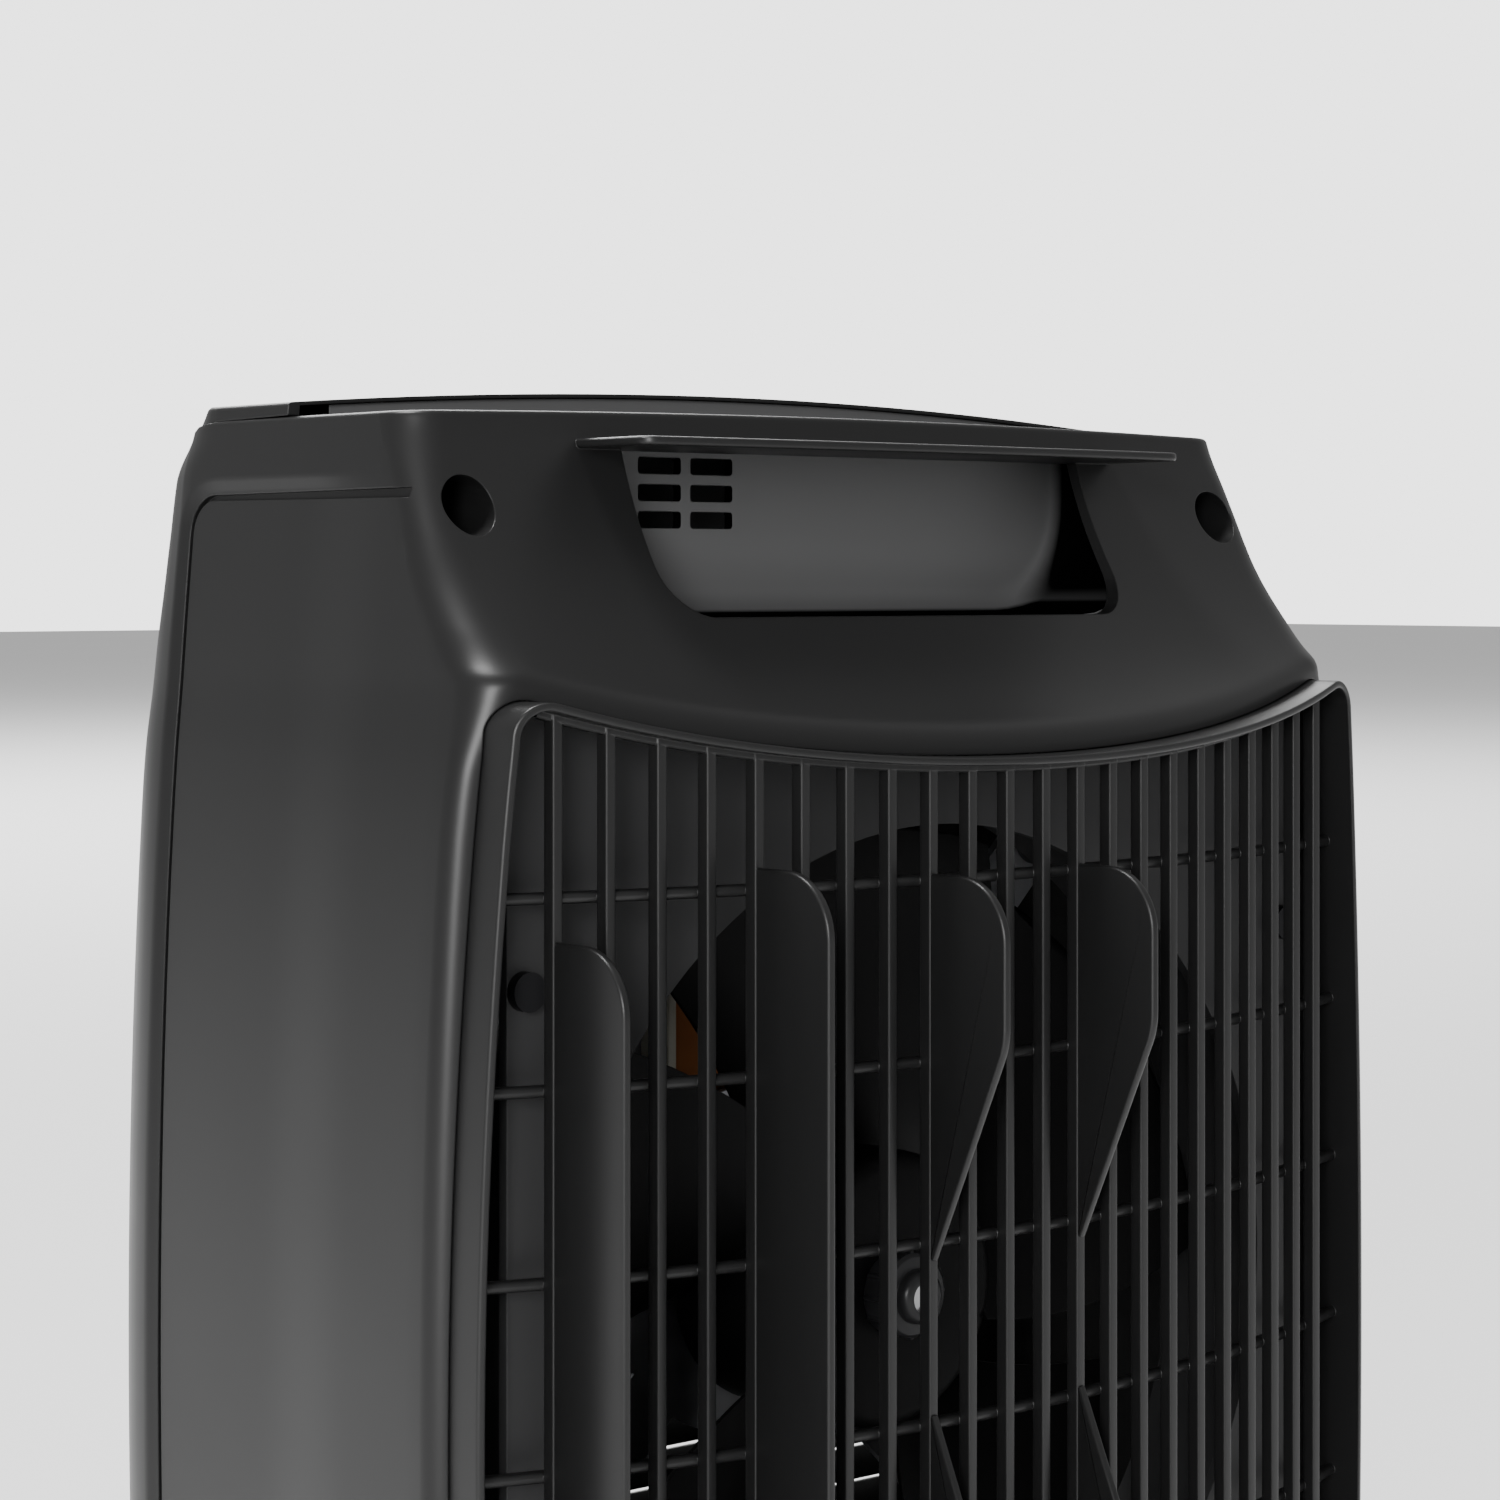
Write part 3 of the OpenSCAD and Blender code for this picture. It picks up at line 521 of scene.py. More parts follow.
def plastic(name, colour, rough, grain=0.12, grain_scale=5200, edge=0.35, coat=0.0, wear=0.05,
            spec=0.3, painted_side_shade=False):
    """Moulded plastic: fine spark-eroded grain, faint handling wear and softly rounded edges; optionally
    painted shade that turns faces looking sideways or up black.
    """
    mat, shader = new_material(name, Specular_IOR_Level=spec, Coat_Weight=coat, Coat_Roughness=0.18)
    place = add_node(mat, "TexCoord")
    fine = add_node(mat, "TexNoise", Scale=grain_scale, Detail=2)
    broad = add_node(mat, "TexNoise", Scale=18, Detail=5)
    for noise in (fine, broad):
        wire(place, "Object", noise, "Vector")
    tint = uneven_colour(mat, shader, broad, [c * (1 - wear) for c in colour],
                         [c * (1 + wear) for c in colour])
    # Painted shade: faces that look sideways or up are painted black here.
    if painted_side_shade:
        paint_side_shade(mat, shader, tint, spec)
    uneven_gloss(mat, shader, broad, rough - 0.025, rough + 0.035, From_Min=0.3, From_Max=0.7)
    bump = surface_bump(mat, shader, fine, grain, 0.03)
    if edge:
        bevel = add_node(mat, "Bevel", Radius=edge * MM)
        bevel.samples = 4
        wire(bevel, "Normal", bump, "Normal")
    return mat


def metal(name, colour, rough, brush=(40, 2500, 40), strength=0.25):
    """Metal with drawn or rolled streaks and uneven tarnish."""
    mat, shader = new_material(name, Metallic=1.0)
    place = add_node(mat, "TexCoord")
    stretch = add_node(mat, "Mapping", Scale=brush)
    streaks = add_node(mat, "TexNoise", Scale=1, Detail=4)
    tarnish = add_node(mat, "TexNoise", Scale=120)
    wire(place, "Object", stretch, "Vector")
    wire(stretch, "Vector", streaks, "Vector")
    wire(place, "Object", tarnish, "Vector")
    uneven_colour(mat, shader, tarnish, [c * 0.8 for c in colour], colour)
    uneven_gloss(mat, shader, streaks, rough - 0.1, rough + 0.1)
    surface_bump(mat, shader, streaks, strength, 0.04)
    return mat


CASING = plastic("casing_black", (0.007, 0.007, 0.0071), 0.38)
GRILLE = plastic("grille_black", (0.008, 0.008, 0.0081), 0.34, edge=0.25)
INNER = plastic("inner_black", (0.02, 0.02, 0.0205), 0.5, edge=0.3)
# The pocket's grey carries painted shade: its sideways walls and floor are painted black.
POCKET = plastic("pocket_grey_painted_shade", (0.072, 0.072, 0.073), 0.46, edge=0.3, painted_side_shade=True)
PANEL = plastic("panel_black", (0.02, 0.02, 0.022), 0.3, grain=0.05, coat=0.3)
KNOB = plastic("knob_black", (0.018, 0.018, 0.019), 0.32)
BLADE = plastic("blade_black", (0.003, 0.003, 0.0031), 0.48, edge=0.3, spec=0.08)
RUBBER = plastic("rubber", (0.022, 0.021, 0.02), 0.75, grain=0.4, grain_scale=2600, edge=0.3)
MARKING = plastic("marking_white", (0.55, 0.55, 0.54), 0.45, edge=0)


# ---------------- the casing's two mouldings

# The recessed side panel, with a groove in front of it and over it.
RECESS = 0.75
RECESS_Y0 = -45.2
RECESS_Y1 = 8.5
RECESS_TOP = 246.6
RECESS_FOOT = 13
FADE_Y = -14  # behind this the recess fades out
STEP_W = 2.5  # width of the slanted step round it
STEP_R = 6.0
STEP_OUT = 1.2  # from the groove to the step
STEP_Y = RECESS_Y0 - 0.3
STEP_Z = RECESS_TOP + STEP_OUT
GROOVE_W = 0.9
GROOVE_D = 1.15
GROOVE_R = 5.6
GROOVE_Y1 = 13.3
# Stations along the side wall and levels in height, closer together at the step and at the flare.
SIDE_STATIONS = ([-49, -48.2, -47.7, -47.2, -46.6, -46, -45.4, RECESS_Y0, -44, -42.5, -40.5]
                 + spread(-38, 14, 20))
STEP_LEVELS = spread(STEP_Z - 7, STEP_Z + STEP_W + 0.6, 17)
FLARE_LEVELS = spread(200, 228, 40)


def panel_recess(y, z):
    """Depth of the recessed side panel: a slanted step round it, fading out to the rear."""
    dy = (STEP_Y + STEP_R) - y
    dz = z - (STEP_Z - STEP_R)
    if dy > 0 and dz > 0:
        out = hypot(dy, dz) - STEP_R
    else:
        out = max(dy - STEP_R, dz - STEP_R)
    out = max(out, RECESS_FOOT - STEP_OUT - z)
    fade = 1 - smooth((y - FADE_Y) / (RECESS_Y1 - FADE_Y))
    return RECESS * fade * (1 - min(max(out / STEP_W, 0.0), 1.0))


def front_corner(z):
    """Middle of the front corner's rounding and its depth along Y, which is less near the crown."""
    centre_y = min(ramp(FOREHEAD, z) + CORNER_R, ramp(CORNER_Y, z))
    return centre_y, centre_y - ramp(FOREHEAD, z)


def side_x(y, z, inset):
    """The side wall's x: drafted plane, with the rounded front corner where y is forward of it."""
    x = half_width(z) - inset - draft(y, z)
    centre_y, depth = front_corner(z)
    if y < centre_y:
        r = CORNER_R - inset
        x -= r * (1 - sqrt(max(1 - ((centre_y - y) / max(depth - inset, 1.0)) ** 2, 0.0)))
    return x


def rear_corner(z, inset, shrink):
    """Rounding between the side wall and the rear face: centre, radius, slope of the rear face."""
    grow = inset + shrink
    radius = max(ramp(REAR_CORNER, z) - grow, 0.8)

    def rear(x):
        return rear_face(x, z, inset) - shrink

    cy = rear(half_width(z) - grow) - radius
    for _ in range(6):
        cx = side_x(cy, z, grow) - radius
        slope = rear(cx + 0.5) - rear(cx - 0.5)
        cy = rear(cx) - radius * sqrt(1 + slope * slope)
    return (cx, cy), radius, slope


def casing_half(z, inset, shrink, recessed):
    """Half of a level section, from the middle of the front round to the middle of the rear."""
    grow = inset + shrink
    front = ramp(FOREHEAD, z) + grow
    first, last = SIDE_STATIONS[0], SIDE_STATIONS[-1]
    centre_y, depth = front_corner(z)
    r, deep = CORNER_R - grow, max(depth - grow, 1.0)
    centre_x = half_width(z) - CORNER_R - draft(centre_y, z)
    half = [(x, front) for x in spread(0, centre_x, 6)[:-1]]
    for a in spread(0, acos(min(max((centre_y - first) / deep, 0.0), 1.0)), 12):
        half.append((centre_x + r * sin(a), centre_y - deep * cos(a)))

    centre, fillet, slope = rear_corner(z, inset, shrink)
    lean = ramp(DRAFT, z)
    limit = centre[1] + fillet * sin(radians(lean))
    ratio = (limit - first) / (last - first)
    for y in SIDE_STATIONS[1:]:
        if ratio < 1:
            y = first + (y - first) * ratio
        half.append((side_x(y, z, grow) - (panel_recess(y, z) if recessed else 0.0), y))
    for y in spread(min(last, limit), limit, 4)[1:-1]:
        half.append((side_x(y, z, grow), y))
    half += arc(centre, fillet, lean, degrees(atan2(1, -slope)), 10)
    half += [(x, rear_face(x, z, inset) - shrink) for x in spread(half[-1][0], 0, 44)[1:]]
    return half


def mirrored(half):
    """Closed loop from a half section whose two ends lie on the middle plane."""
    return half + [(-x, y) for x, y in half[-2:0:-1]]


def capped_loft(bm, loops, height):
    """Lofts mirrored loops; the top one is closed by a grid that follows height(x)."""
    rings = [[bm.verts.new(p) for p in loop] for loop in loops]
    skin(bm, rings)
    bm.faces.new(rings[0][::-1])
    top = rings[-1]
    count = len(top)
    parts = 24
    rows = []
    for i in range(1, count // 2):
        a, b = top[i], top[count - i]
        between = [a.co.lerp(b.co, k / parts) for k in range(1, parts)]
        rows.append([a] + [bm.verts.new((p.x, p.y, height(p.x))) for p in between] + [b])
    for a, b in zip(rows, rows[1:]):
        for k in range(parts):
            bm.faces.new((a[k], a[k + 1], b[k + 1], b[k]))
    for row, tip in ((rows[0], top[0]), (rows[-1], top[count // 2])):
        for k in range(parts):
            bm.faces.new((row[k], row[k + 1], tip))


def casing_solid(name, inset, top_z, top_r, blend_z, recessed=False):
    """The casing's closed form, or with an inset the space inside its walls."""
    low, high = BASE_Z + inset, top_z - inset
    levels = [(low + rise, shrink) for rise, shrink in rounding(max(FOOT_R - inset, 0.4), 0, 90, 4)]
    middle = spread(10, 196, 20) + FLARE_LEVELS[:-1] + spread(228, 238, 6)
    middle += STEP_LEVELS + spread(STEP_LEVELS[-1] + 1, high - EDGE_R - 0.5, 6)
    levels += [(z, 0.0) for z in middle]
    if inset:
        levels.append((high, 0.0))
    else:
        levels += [(high - fall, shrink) for shrink, fall in rounding(EDGE_R, 0, 85, 6)]
    top = levels[-1][0]

    def drop(x, z):
        return x * x / (2 * top_r) * smooth((z - blend_z) / (high - blend_z))

    def build(bm):
        loops = []
        for z, shrink in levels:
            half = casing_half(z, inset, shrink, recessed)
            loops.append([(x, y, z - drop(x, z)) for x, y in mirrored(half)])
        capped_loft(bm, loops, lambda x: top - drop(x, top))

    return new_solid(name, build)


def shell_solid(name, inset=0.0, recessed=False):
    """The casing's form up to the shell's top."""
    return casing_solid(name, inset, TOP_Z, TOP_R, TOP_BLEND_Z, recessed)


def bezel_solid(name, inset=0.0, top_z=CROWN_Z):
    """The casing's form up to the bezel's crown."""
    return casing_solid(name, inset, top_z, CROWN_R, CROWN_BLEND_Z)


def side_prism(name, profile):
    """Prism across the object's whole width through a (y, z) profile."""
    return new_solid(name, lambda bm: loft(bm, [[(x, y, z) for y, z in profile] for x in (-FAR_X, FAR_X)]))


def joint_side(name, shift, far_y):
    """Everything between the joint of shell and bezel, moved by a shift, and far_y."""
    profile = [(y + shift, z) for y, z in BROW]
    return side_prism(name, profile + [(far_y, OVER_Z), (far_y, UNDER_Z)])


def rim_top(x):
    """Height of the rim's top edge over x."""
    gap = RIM_GAP - RIM_GAP_CLOSING * (x / BOW_HALF_W) ** 2
    return FLARE_Z - sqrt((FLARE_R + gap) ** 2 - (FLARE_Y - bow(x)) ** 2)


def rim_side(z):
    """Half width of the rim at a height."""
    return half_width(z) - ramp(RIM_INSET, z)


def rim_outline():
    """Closed outline of the rim in (x, z), counter-clockwise from the middle of the bottom."""
    r = RIM_CORNER_R
    cx = rim_side(210) - r
    for _ in range(4):
        slope = rim_top(cx + 0.5) - rim_top(cx - 0.5)
        cz = rim_top(cx) - r * sqrt(1 + slope * slope)
        cx = rim_side(cz) - r
    low_z = RIM_LOW_Z + r
    low_x = rim_side(low_z) - r
    right = [(x, RIM_LOW_Z) for x in spread(0, low_x, 16)[:-1]]
    right += arc((low_x, low_z), r, -90, 0, 10)
    right += [(rim_side(z), z) for z in spread(low_z, cz, 24)[1:-1]]
    right += arc((cx, cz), r, 0, degrees(atan2(1, -slope)), 12)
    right += [(x, rim_top(x)) for x in spread(right[-1][0], 0, 40)[1:]]
    return mirrored(right)


RIM = rim_outline()


def groove_path():
    """Middle line of the side panel's groove: (y, z, width), wider towards its rear end."""
    corner_y, corner_z = RECESS_Y0 + GROOVE_R, RECESS_TOP - 5
    path = [(RECESS_Y0, z, GROOVE_W) for z in spread(RECESS_FOOT, corner_z, 24)]
    path += [(y, z, GROOVE_W) for y, z in arc((corner_y, corner_z), GROOVE_R, 180, 90, 8)[1:]]
    path += [(y, corner_z + GROOVE_R, GROOVE_W + 0.5 * (y - corner_y) / 40)
             for y in spread(corner_y, GROOVE_Y1, 28)[1:]]
    return path


def groove_cutter(side):
    """Cutter for the thin groove in front of and over the side panel."""
    path = groove_path()

    def build(bm):
        loops = []
        for i, (y, z, width) in enumerate(path):
            y0, z0, _ = path[max(i - 1, 0)]
            y1, z1, _ = path[min(i + 1, len(path) - 1)]
            along = Vector((y1 - y0, z1 - z0)).normalized()
            dy, dz = along.y * width / 2, -along.x * width / 2
            deep = side_x(y, z, 0) - RECESS - GROOVE_D
            loops.append([(side * x, y + k * dy, z + k * dz)
                          for x, k in ((deep, -1), (deep + 6, -1), (deep + 6, 1), (deep, 1))])
        loft(bm, loops)
    return new_solid("groove_cutter", build)


def hand_lip():
    """Thin shelf over the hand opening: bowed free edge, rounded all round its rear edges."""
    end_x, mid_y, end_y, root_y = 59.8, 33, 31, 8
    thick = 1.5
    corner = 3.0
    big_r = (end_x ** 2 + (mid_y - end_y) ** 2) / (2 * (mid_y - end_y))

    def edge(x, less):
        return mid_y - less - big_r + sqrt(big_r ** 2 - x * x)

    def outline(less):
        r = corner - less
        cx = end_x - less - r
        right = [(end_x - less, root_y)] + arc((cx, edge(cx, less) - r), r, 0, 90, 6)
        right += [(x, edge(x, less)) for x in spread(cx, 0, 20)[1:]]
        return right + [(-x, y) for x, y in right[-2::-1]]

    def build(bm):
        middle_z = GRIP_HIGH_Z + thick / 2
        loft(bm, [[(x, y, middle_z + across) for x, y in outline(less)]
                  for across, less in soft_slab(thick, 0.55)])
    return new_solid("hand_lip", build)


def wells(name, radius, y0, y1):
    """Cylinders on the four case screws."""
    def build(bm):
        for x in (-SCREW_X, SCREW_X):
            for z in SCREW_ZS:
                cylinder(bm, x, z, radius, y0, y1)
    return new_solid(name, build)


def rear_shell():
    """Rear moulding with screw wells, hand opening, seat of the grille, grooves and gland hole."""
    shell = shell_solid("shell_moulding", recessed=True)
    combine(shell, "DIFFERENCE", shell_solid("hollow", WALL), joint_side("before_joint", SEAM, -FAR_Y))
    tubes = combine(wells("tubes", WELL_R + 2, SEAT_Y - 2, 60), "INTERSECT", shell_solid("well_form", 1.0))
    combine(shell, "UNION", tubes, hand_lip(), rod("gland_pad", GLAND_X, GLAND_Z, 8, 40, 46.6))
    grip = rounded_rect(-GRIP_HALF_W, GRIP_HALF_W, GRIP_LOW_Z, GRIP_HIGH_Z + 0.01, (8, 0.01), 8)
    combine(shell, "DIFFERENCE", wells("bores", WELL_R, SEAT_Y, 80),
            wells("pilots", 2.2, SEAT_Y - 4, SEAT_Y + 1), plate("grip", grip, -2, 60),
            plate("rim_seat", inset_outline(RIM, -0.2), 20, 80), groove_cutter(1), groove_cutter(-1),
            rod("gland_hole", GLAND_X, GLAND_Z, 6, 20, 60),
            block("slit", -SLIT_HALF_W, SLIT_HALF_W, -70, COVER_HIGH[1] + 0.1, TOP_BLEND_Z, 270))
    finish_piece(shell, CASING, "rear_shell", 28)


def front_bezel():
    """Front moulding with webs at the crown's ends, screw bosses and the front's two openings."""
    collar_t = 2

    def webs(bm):
        both_sides(bm, SLIT_HALF_W - 0.2, 98, LIP_Y - 22, LIP_Y - 20, TOP_Z - 1.6, 262)

    def openings(bm):
        for sizes, deep_y in ((WINDOW, -50), (OUTLET, -60)):
            prism(bm, [(-80, opening(sizes)), (deep_y, opening(sizes))])

    bezel = bezel_solid("bezel_moulding")
    combine(bezel, "DIFFERENCE", bezel_solid("bezel_hollow", WALL, CROWN_ROOM_Z),
            joint_side("behind_joint", -SEAM, FAR_Y))
    combine(bezel, "UNION", combine(new_solid("webs", webs), "INTERSECT", bezel_solid("web_form", 0.6)),
            wells("bosses", 4.6, -55, SEAT_Y - 2.2),
            plate("collar", opening(WINDOW, collar_t), -64.5, PARTING_Y))
    combine(bezel, "DIFFERENCE", new_solid("openings", openings))
    finish_piece(bezel, CASING, "front_bezel", 28)


# ---------------- rear grille and cord fins

BAR_PITCH = 8
BAR_COUNT = 22
BAR_W = 1.85
BAR_D = 2.5
RIB_PITCH = 28.4
RIB_COUNT = 6
RIB_D = 2.3
BAND_H = 1.8  # band over the openings, under the top of the rim
FIN_T = 1.5
FIN_D = 16.5
FIN_CORNER_R = 10
# Each fin's x, the height of its upper end and whether it is split into two lobes.
FINS = [(84, 180.7, False), (52, 190.5, False), (20, 188.2, True), (-12, 188.2, True)]
LOBE_LOW_Z = 162
LOBE_SLANT = 34
LOBE_BEND_R = 12


def grille_rim(bm):
    """Rim wall that follows the bow, with two small fillets on its rear edge."""
    section = [(0.0, -RIM_DEEP)] + [(inset, RIM_PROUD - fall) for inset, fall in rounding(0.4, 0, 90, 4)]
    section += [(RIM_T - inset, depth) for inset, depth in section[:0:-1]] + [(RIM_T, -RIM_DEEP)]
    ring_wall(bm, RIM, section, bow)


def bar_outline(width, depth, r):
    """Cross-section of a bar with rounded edges: (across, depth) points."""
    return rounded_rect(-width / 2, width / 2, -depth, 0, (r, r), 4)


def grille_bars(bm):
    """Upright bars between the bottom and the top of the rim."""
    section = bar_outline(BAR_W, BAR_D, 0.32)
    for x in centred(BAR_COUNT, BAR_PITCH):
        loft(bm, [[(x + across, bow(x) + depth, z) for across, depth in section]
                  for z in (RIM_LOW_Z + RIM_T / 2, rim_top(x) - RIM_T / 2)])


def grille_ribs(bm):
    """Cross ribs that follow the bow on the bars' inner side."""
    section = bar_outline(BAR_W, RIB_D, 0.85)
    face = 0.4 - BAR_D
    for z in [AXIS_Z + dz for dz in centred(RIB_COUNT, RIB_PITCH)]:
        end = rim_side(z) - RIM_T / 2
        loft(bm, [[(x, bow(x) + face + depth, z + across) for across, depth in section]
                  for x in spread(-end, end, 60)])


def grille_band(bm):
    """Band under the top of the rim, with its lower rear edge broken."""
    end = rim_side(212) - RIM_CORNER_R
    section = ((-BAR_D, 0), (-BAR_D, -BAND_H), (-0.3, -BAND_H), (0, 0.3 - BAND_H), (0, 0))
    loft(bm, [[(x, bow(x) + depth, rim_top(x) - RIM_T / 2 + up) for depth, up in section]
              for x in spread(-end, end, 60)])


def rear_grille():
    """Bowed grille: rim, upright bars, cross ribs and the band over the openings."""
    def build(bm):
        for part in (grille_rim, grille_bars, grille_ribs, grille_band):
            part(bm)
    grille = new_solid("grille_moulding", build)
    finish_piece(grille, GRILLE, "rear_grille", 30)


def below_axis(outline):
    """The same (depth, z) points mirrored about the fan axis."""
    return [(depth, 2 * AXIS_Z - z) for depth, z in reversed(outline)]


def fin_outlines(top_z, lobed):
    """Outlines of one fin in (depth behind the bars, z): one tall blade or two short lobes."""
    root = -0.4
    round_z = top_z - FIN_CORNER_R
    upper = arc((FIN_D - FIN_CORNER_R, round_z), FIN_CORNER_R, 0, 90, 12) + [(root, top_z)]
    if not lobed:
        edge = [(FIN_D, z) for z in spread(2 * AXIS_Z - round_z, round_z, 8)[1:-1]]
        return [below_axis(upper) + edge + upper]
    foot_z = LOBE_LOW_Z - LOBE_SLANT
    slant = degrees(atan2(FIN_D, LOBE_SLANT))
    bend = arc((FIN_D - LOBE_BEND_R, LOBE_LOW_Z + 0.3 * LOBE_BEND_R), LOBE_BEND_R, -slant, 0, 6)
    lobe = [(root, foot_z), (0.3, foot_z)] + bend + upper
    return [lobe, below_axis(lobe)]


def cord_fins():
    """Fins on the grille that the cord winds round, with rounded edges."""
    def build(bm):
        for x, top_z, lobed in FINS:
            for outline in fin_outlines(top_z, lobed):
                loft(bm, [[(x + across, bow(x) + depth, z) for depth, z in inset_outline(outline, less)]
                          for across, less in soft_slab(FIN_T, 0.5)])
    fins = new_solid("cord_fin_set", build)
    finish_piece(fins, GRILLE, "cord_fins", 40)


# ---------------- inside the air path

INLET_R = 82
ORIFICE_R = 78  # the plate's opening is a little smaller than the collar
PLATE_T = 2
POST_X = 70
HUB_R = 23
BORE_R = 2.6  # of the hub and its nut, round the motor shaft
BLADE_COUNT = 5
BLADE_ROOT_R = 22
BLADE_TIP_R = 77


def inlet_shroud():
    """Plate behind the fan with its round opening, the collar round the fan and four posts."""
    rear_y = PLATE_HIGH[1]
    join_y = rear_y - 1
    outline = rounded_rect(-87, 87, 10, 214, (6, 6))

    def collar(bm):
        profile = [(INLET_R + 2, 8), (INLET_R, 8), (INLET_R, join_y), (INLET_R + 2, join_y)]
        lathe(bm, profile, (0, AXIS_Z), 128)

    def posts(bm):
        for x in (-POST_X, POST_X):
            for dz in (-POST_X, POST_X):
                cylinder(bm, x, AXIS_Z + dz, 5, -16, join_y)

    def well_gaps(bm):
        for x in (-SCREW_X, SCREW_X):
            cylinder(bm, x, SCREW_ZS[0], WELL_R + 2.4, 20, 60)

    shroud = plate("shroud_moulding", outline, rear_y - PLATE_T, rear_y)
    combine(shroud, "DIFFERENCE", rod("orifice", 0, AXIS_Z, ORIFICE_R, rear_y - PLATE_T - 0.5, 60, 128))
    combine(shroud, "UNION", new_solid("collar", collar), new_solid("posts", posts))
    combine(shroud, "DIFFERENCE", new_solid("well_gaps", well_gaps))
    finish_piece(shroud, INNER, "inlet_shroud", 30)


def blade_point(radius, t, side):
    """Angle and y of a point on a swept, twisted blade: t runs from its leading to its trailing edge."""
    middle_y, rise, camber = 8.5, 14, 2.2
    out = radius - BLADE_ROOT_R
    span = out / (BLADE_TIP_R - BLADE_ROOT_R)
    sweep = radians(-8 + 16 * span)
    half_chord = radians(34) * (BLADE_ROOT_R + 0.9 * out) / radius * 0.86
    pitch = 1 - 0.35 * span
    thickness = 1.1 * sqrt(sin(pi * min(max(t, 0.02), 0.98))) + 0.15
    y = middle_y + rise * pitch * (1 - 2 * t) + camber * sin(pi * t)
    return sweep + half_chord * (2 * t - 1), y + side * thickness


def blade(bm, turn):
    """One blade, from inside the hub to its tip."""
    ts = spread(0, 1, 18)
    loops = []
    for radius in spread(BLADE_ROOT_R - 0.5, BLADE_TIP_R - 0.2, 14):
        loop = [blade_point(radius, t, 1) for t in ts] + [blade_point(radius, t, -1) for t in ts[::-1]]
        loops.append([(radius * sin(a + turn), y, AXIS_Z + radius * cos(a + turn))
                      for a, y in loop])
    loft(bm, loops)


def fan():
    """Five twisted blades with aerofoil sections on a rounded, hollow hub."""
    rear = BLADE_HIGH[1] - 1
    front = -8
    soft = 3
    hub = [(BORE_R, rear), (12, rear)] + arc((HUB_R - soft, rear - soft), soft, 90, 0, 6)
    hub += [(HUB_R, front), (HUB_R - 2, front), (HUB_R - 2, rear - soft), (6.2, rear - 2.2),
            (6, front + 1), (BORE_R, front + 1)]

    def build(bm):
        for turn in turns(BLADE_COUNT):
            blade(bm, turn)
        lathe(bm, hub, (0, AXIS_Z), 96)
    finish_piece(new_solid("fan_rotor", build), BLADE, "fan_blade", 35, body="rotor")


def hub_nut():
    """Cap nut with a domed end and twelve grip ridges."""
    low, high = NUT_LOW[1], NUT_HIGH[1]
    dome_r = 1.5
    profile = [(BORE_R, low), (7, low), (7, low + 4.4), (6.4, low + 5), (4.5, low + 5.2)]
    profile += arc((4.5 - dome_r, high - dome_r), dome_r, 0, 90, 5) + [(BORE_R, high)]

    def build(bm):
        lathe(bm, profile, (0, AXIS_Z), 48)
        for a in turns(12):
            cylinder(bm, 6.9 * cos(a), AXIS_Z + 6.9 * sin(a), 0.45, low + 0.2, low + 4.2, 10)
    finish_piece(new_solid("hub_cap_nut", build), KNOB, "hub_nut", body="rotor")


# ---------------- pocket and rear cover

POCKET_HALF_W = 61
POCKET_HIGH_Z = GRIP_HIGH_Z + 0.6
POCKET_CORNER_R = 20
POCKET_BACK_Y = 1
POCKET_WALL = 1.9
SLOT_X = 17.6
SLOT_TOP_Z = 254.1
SLOT_W = 9.05
SLOT_H = 2.8
SLOT_PITCH = 4.45
SLOT_GAP = 2


def pocket_outline(less, extra=0.0):
    """Cup-shaped outline of the pocket, smaller by less at its sides and bottom, higher by extra."""
    return rounded_rect(less - POCKET_HALF_W, POCKET_HALF_W - less, GRIP_LOW_Z + less, POCKET_HIGH_Z + extra,
                        (POCKET_CORNER_R - less, 0.05), 10)


def pocket_slots(bm):
    """Two columns of three slots through the pocket's back wall."""
    for i in range(2):
        for j in range(3):
            x = SLOT_X + i * (SLOT_W + SLOT_GAP)
            z = SLOT_TOP_Z - j * SLOT_PITCH
            slot = rounded_rect(x, x + SLOT_W, z - SLOT_H, z, (0.6, 0.6), 4)
            prism(bm, [(y, slot) for y in (POCKET_BACK_Y - 5, POCKET_BACK_Y + 1.5)])


def handle_pocket():
    """Carrying pocket: hollow with a rounded back, cut off along the flare, with slots."""
    soft = 5
    outer = pocket_outline(-POCKET_WALL, POCKET_WALL)
    layers = [(POCKET_BACK_Y + rise, pocket_outline(less)) for rise, less in rounding(soft, 0, 90, 8)]
    layers.append((70, pocket_outline(0)))
    pocket = plate("pocket_moulding", outer, POCKET_BACK_Y - 2, 45)
    combine(pocket, "DIFFERENCE", new_solid("room", lambda bm: prism(bm, layers)),
            side_prism("flare_cut", arc((FLARE_Y, FLARE_Z), FLARE_R + WALL + 0.1, 160, 280, 60)),
            new_solid("slots", pocket_slots))
    # The pocket's material paints shade: the sideways walls and the floor come out black.
    finish_piece(pocket, POCKET, "handle_pocket", 30)


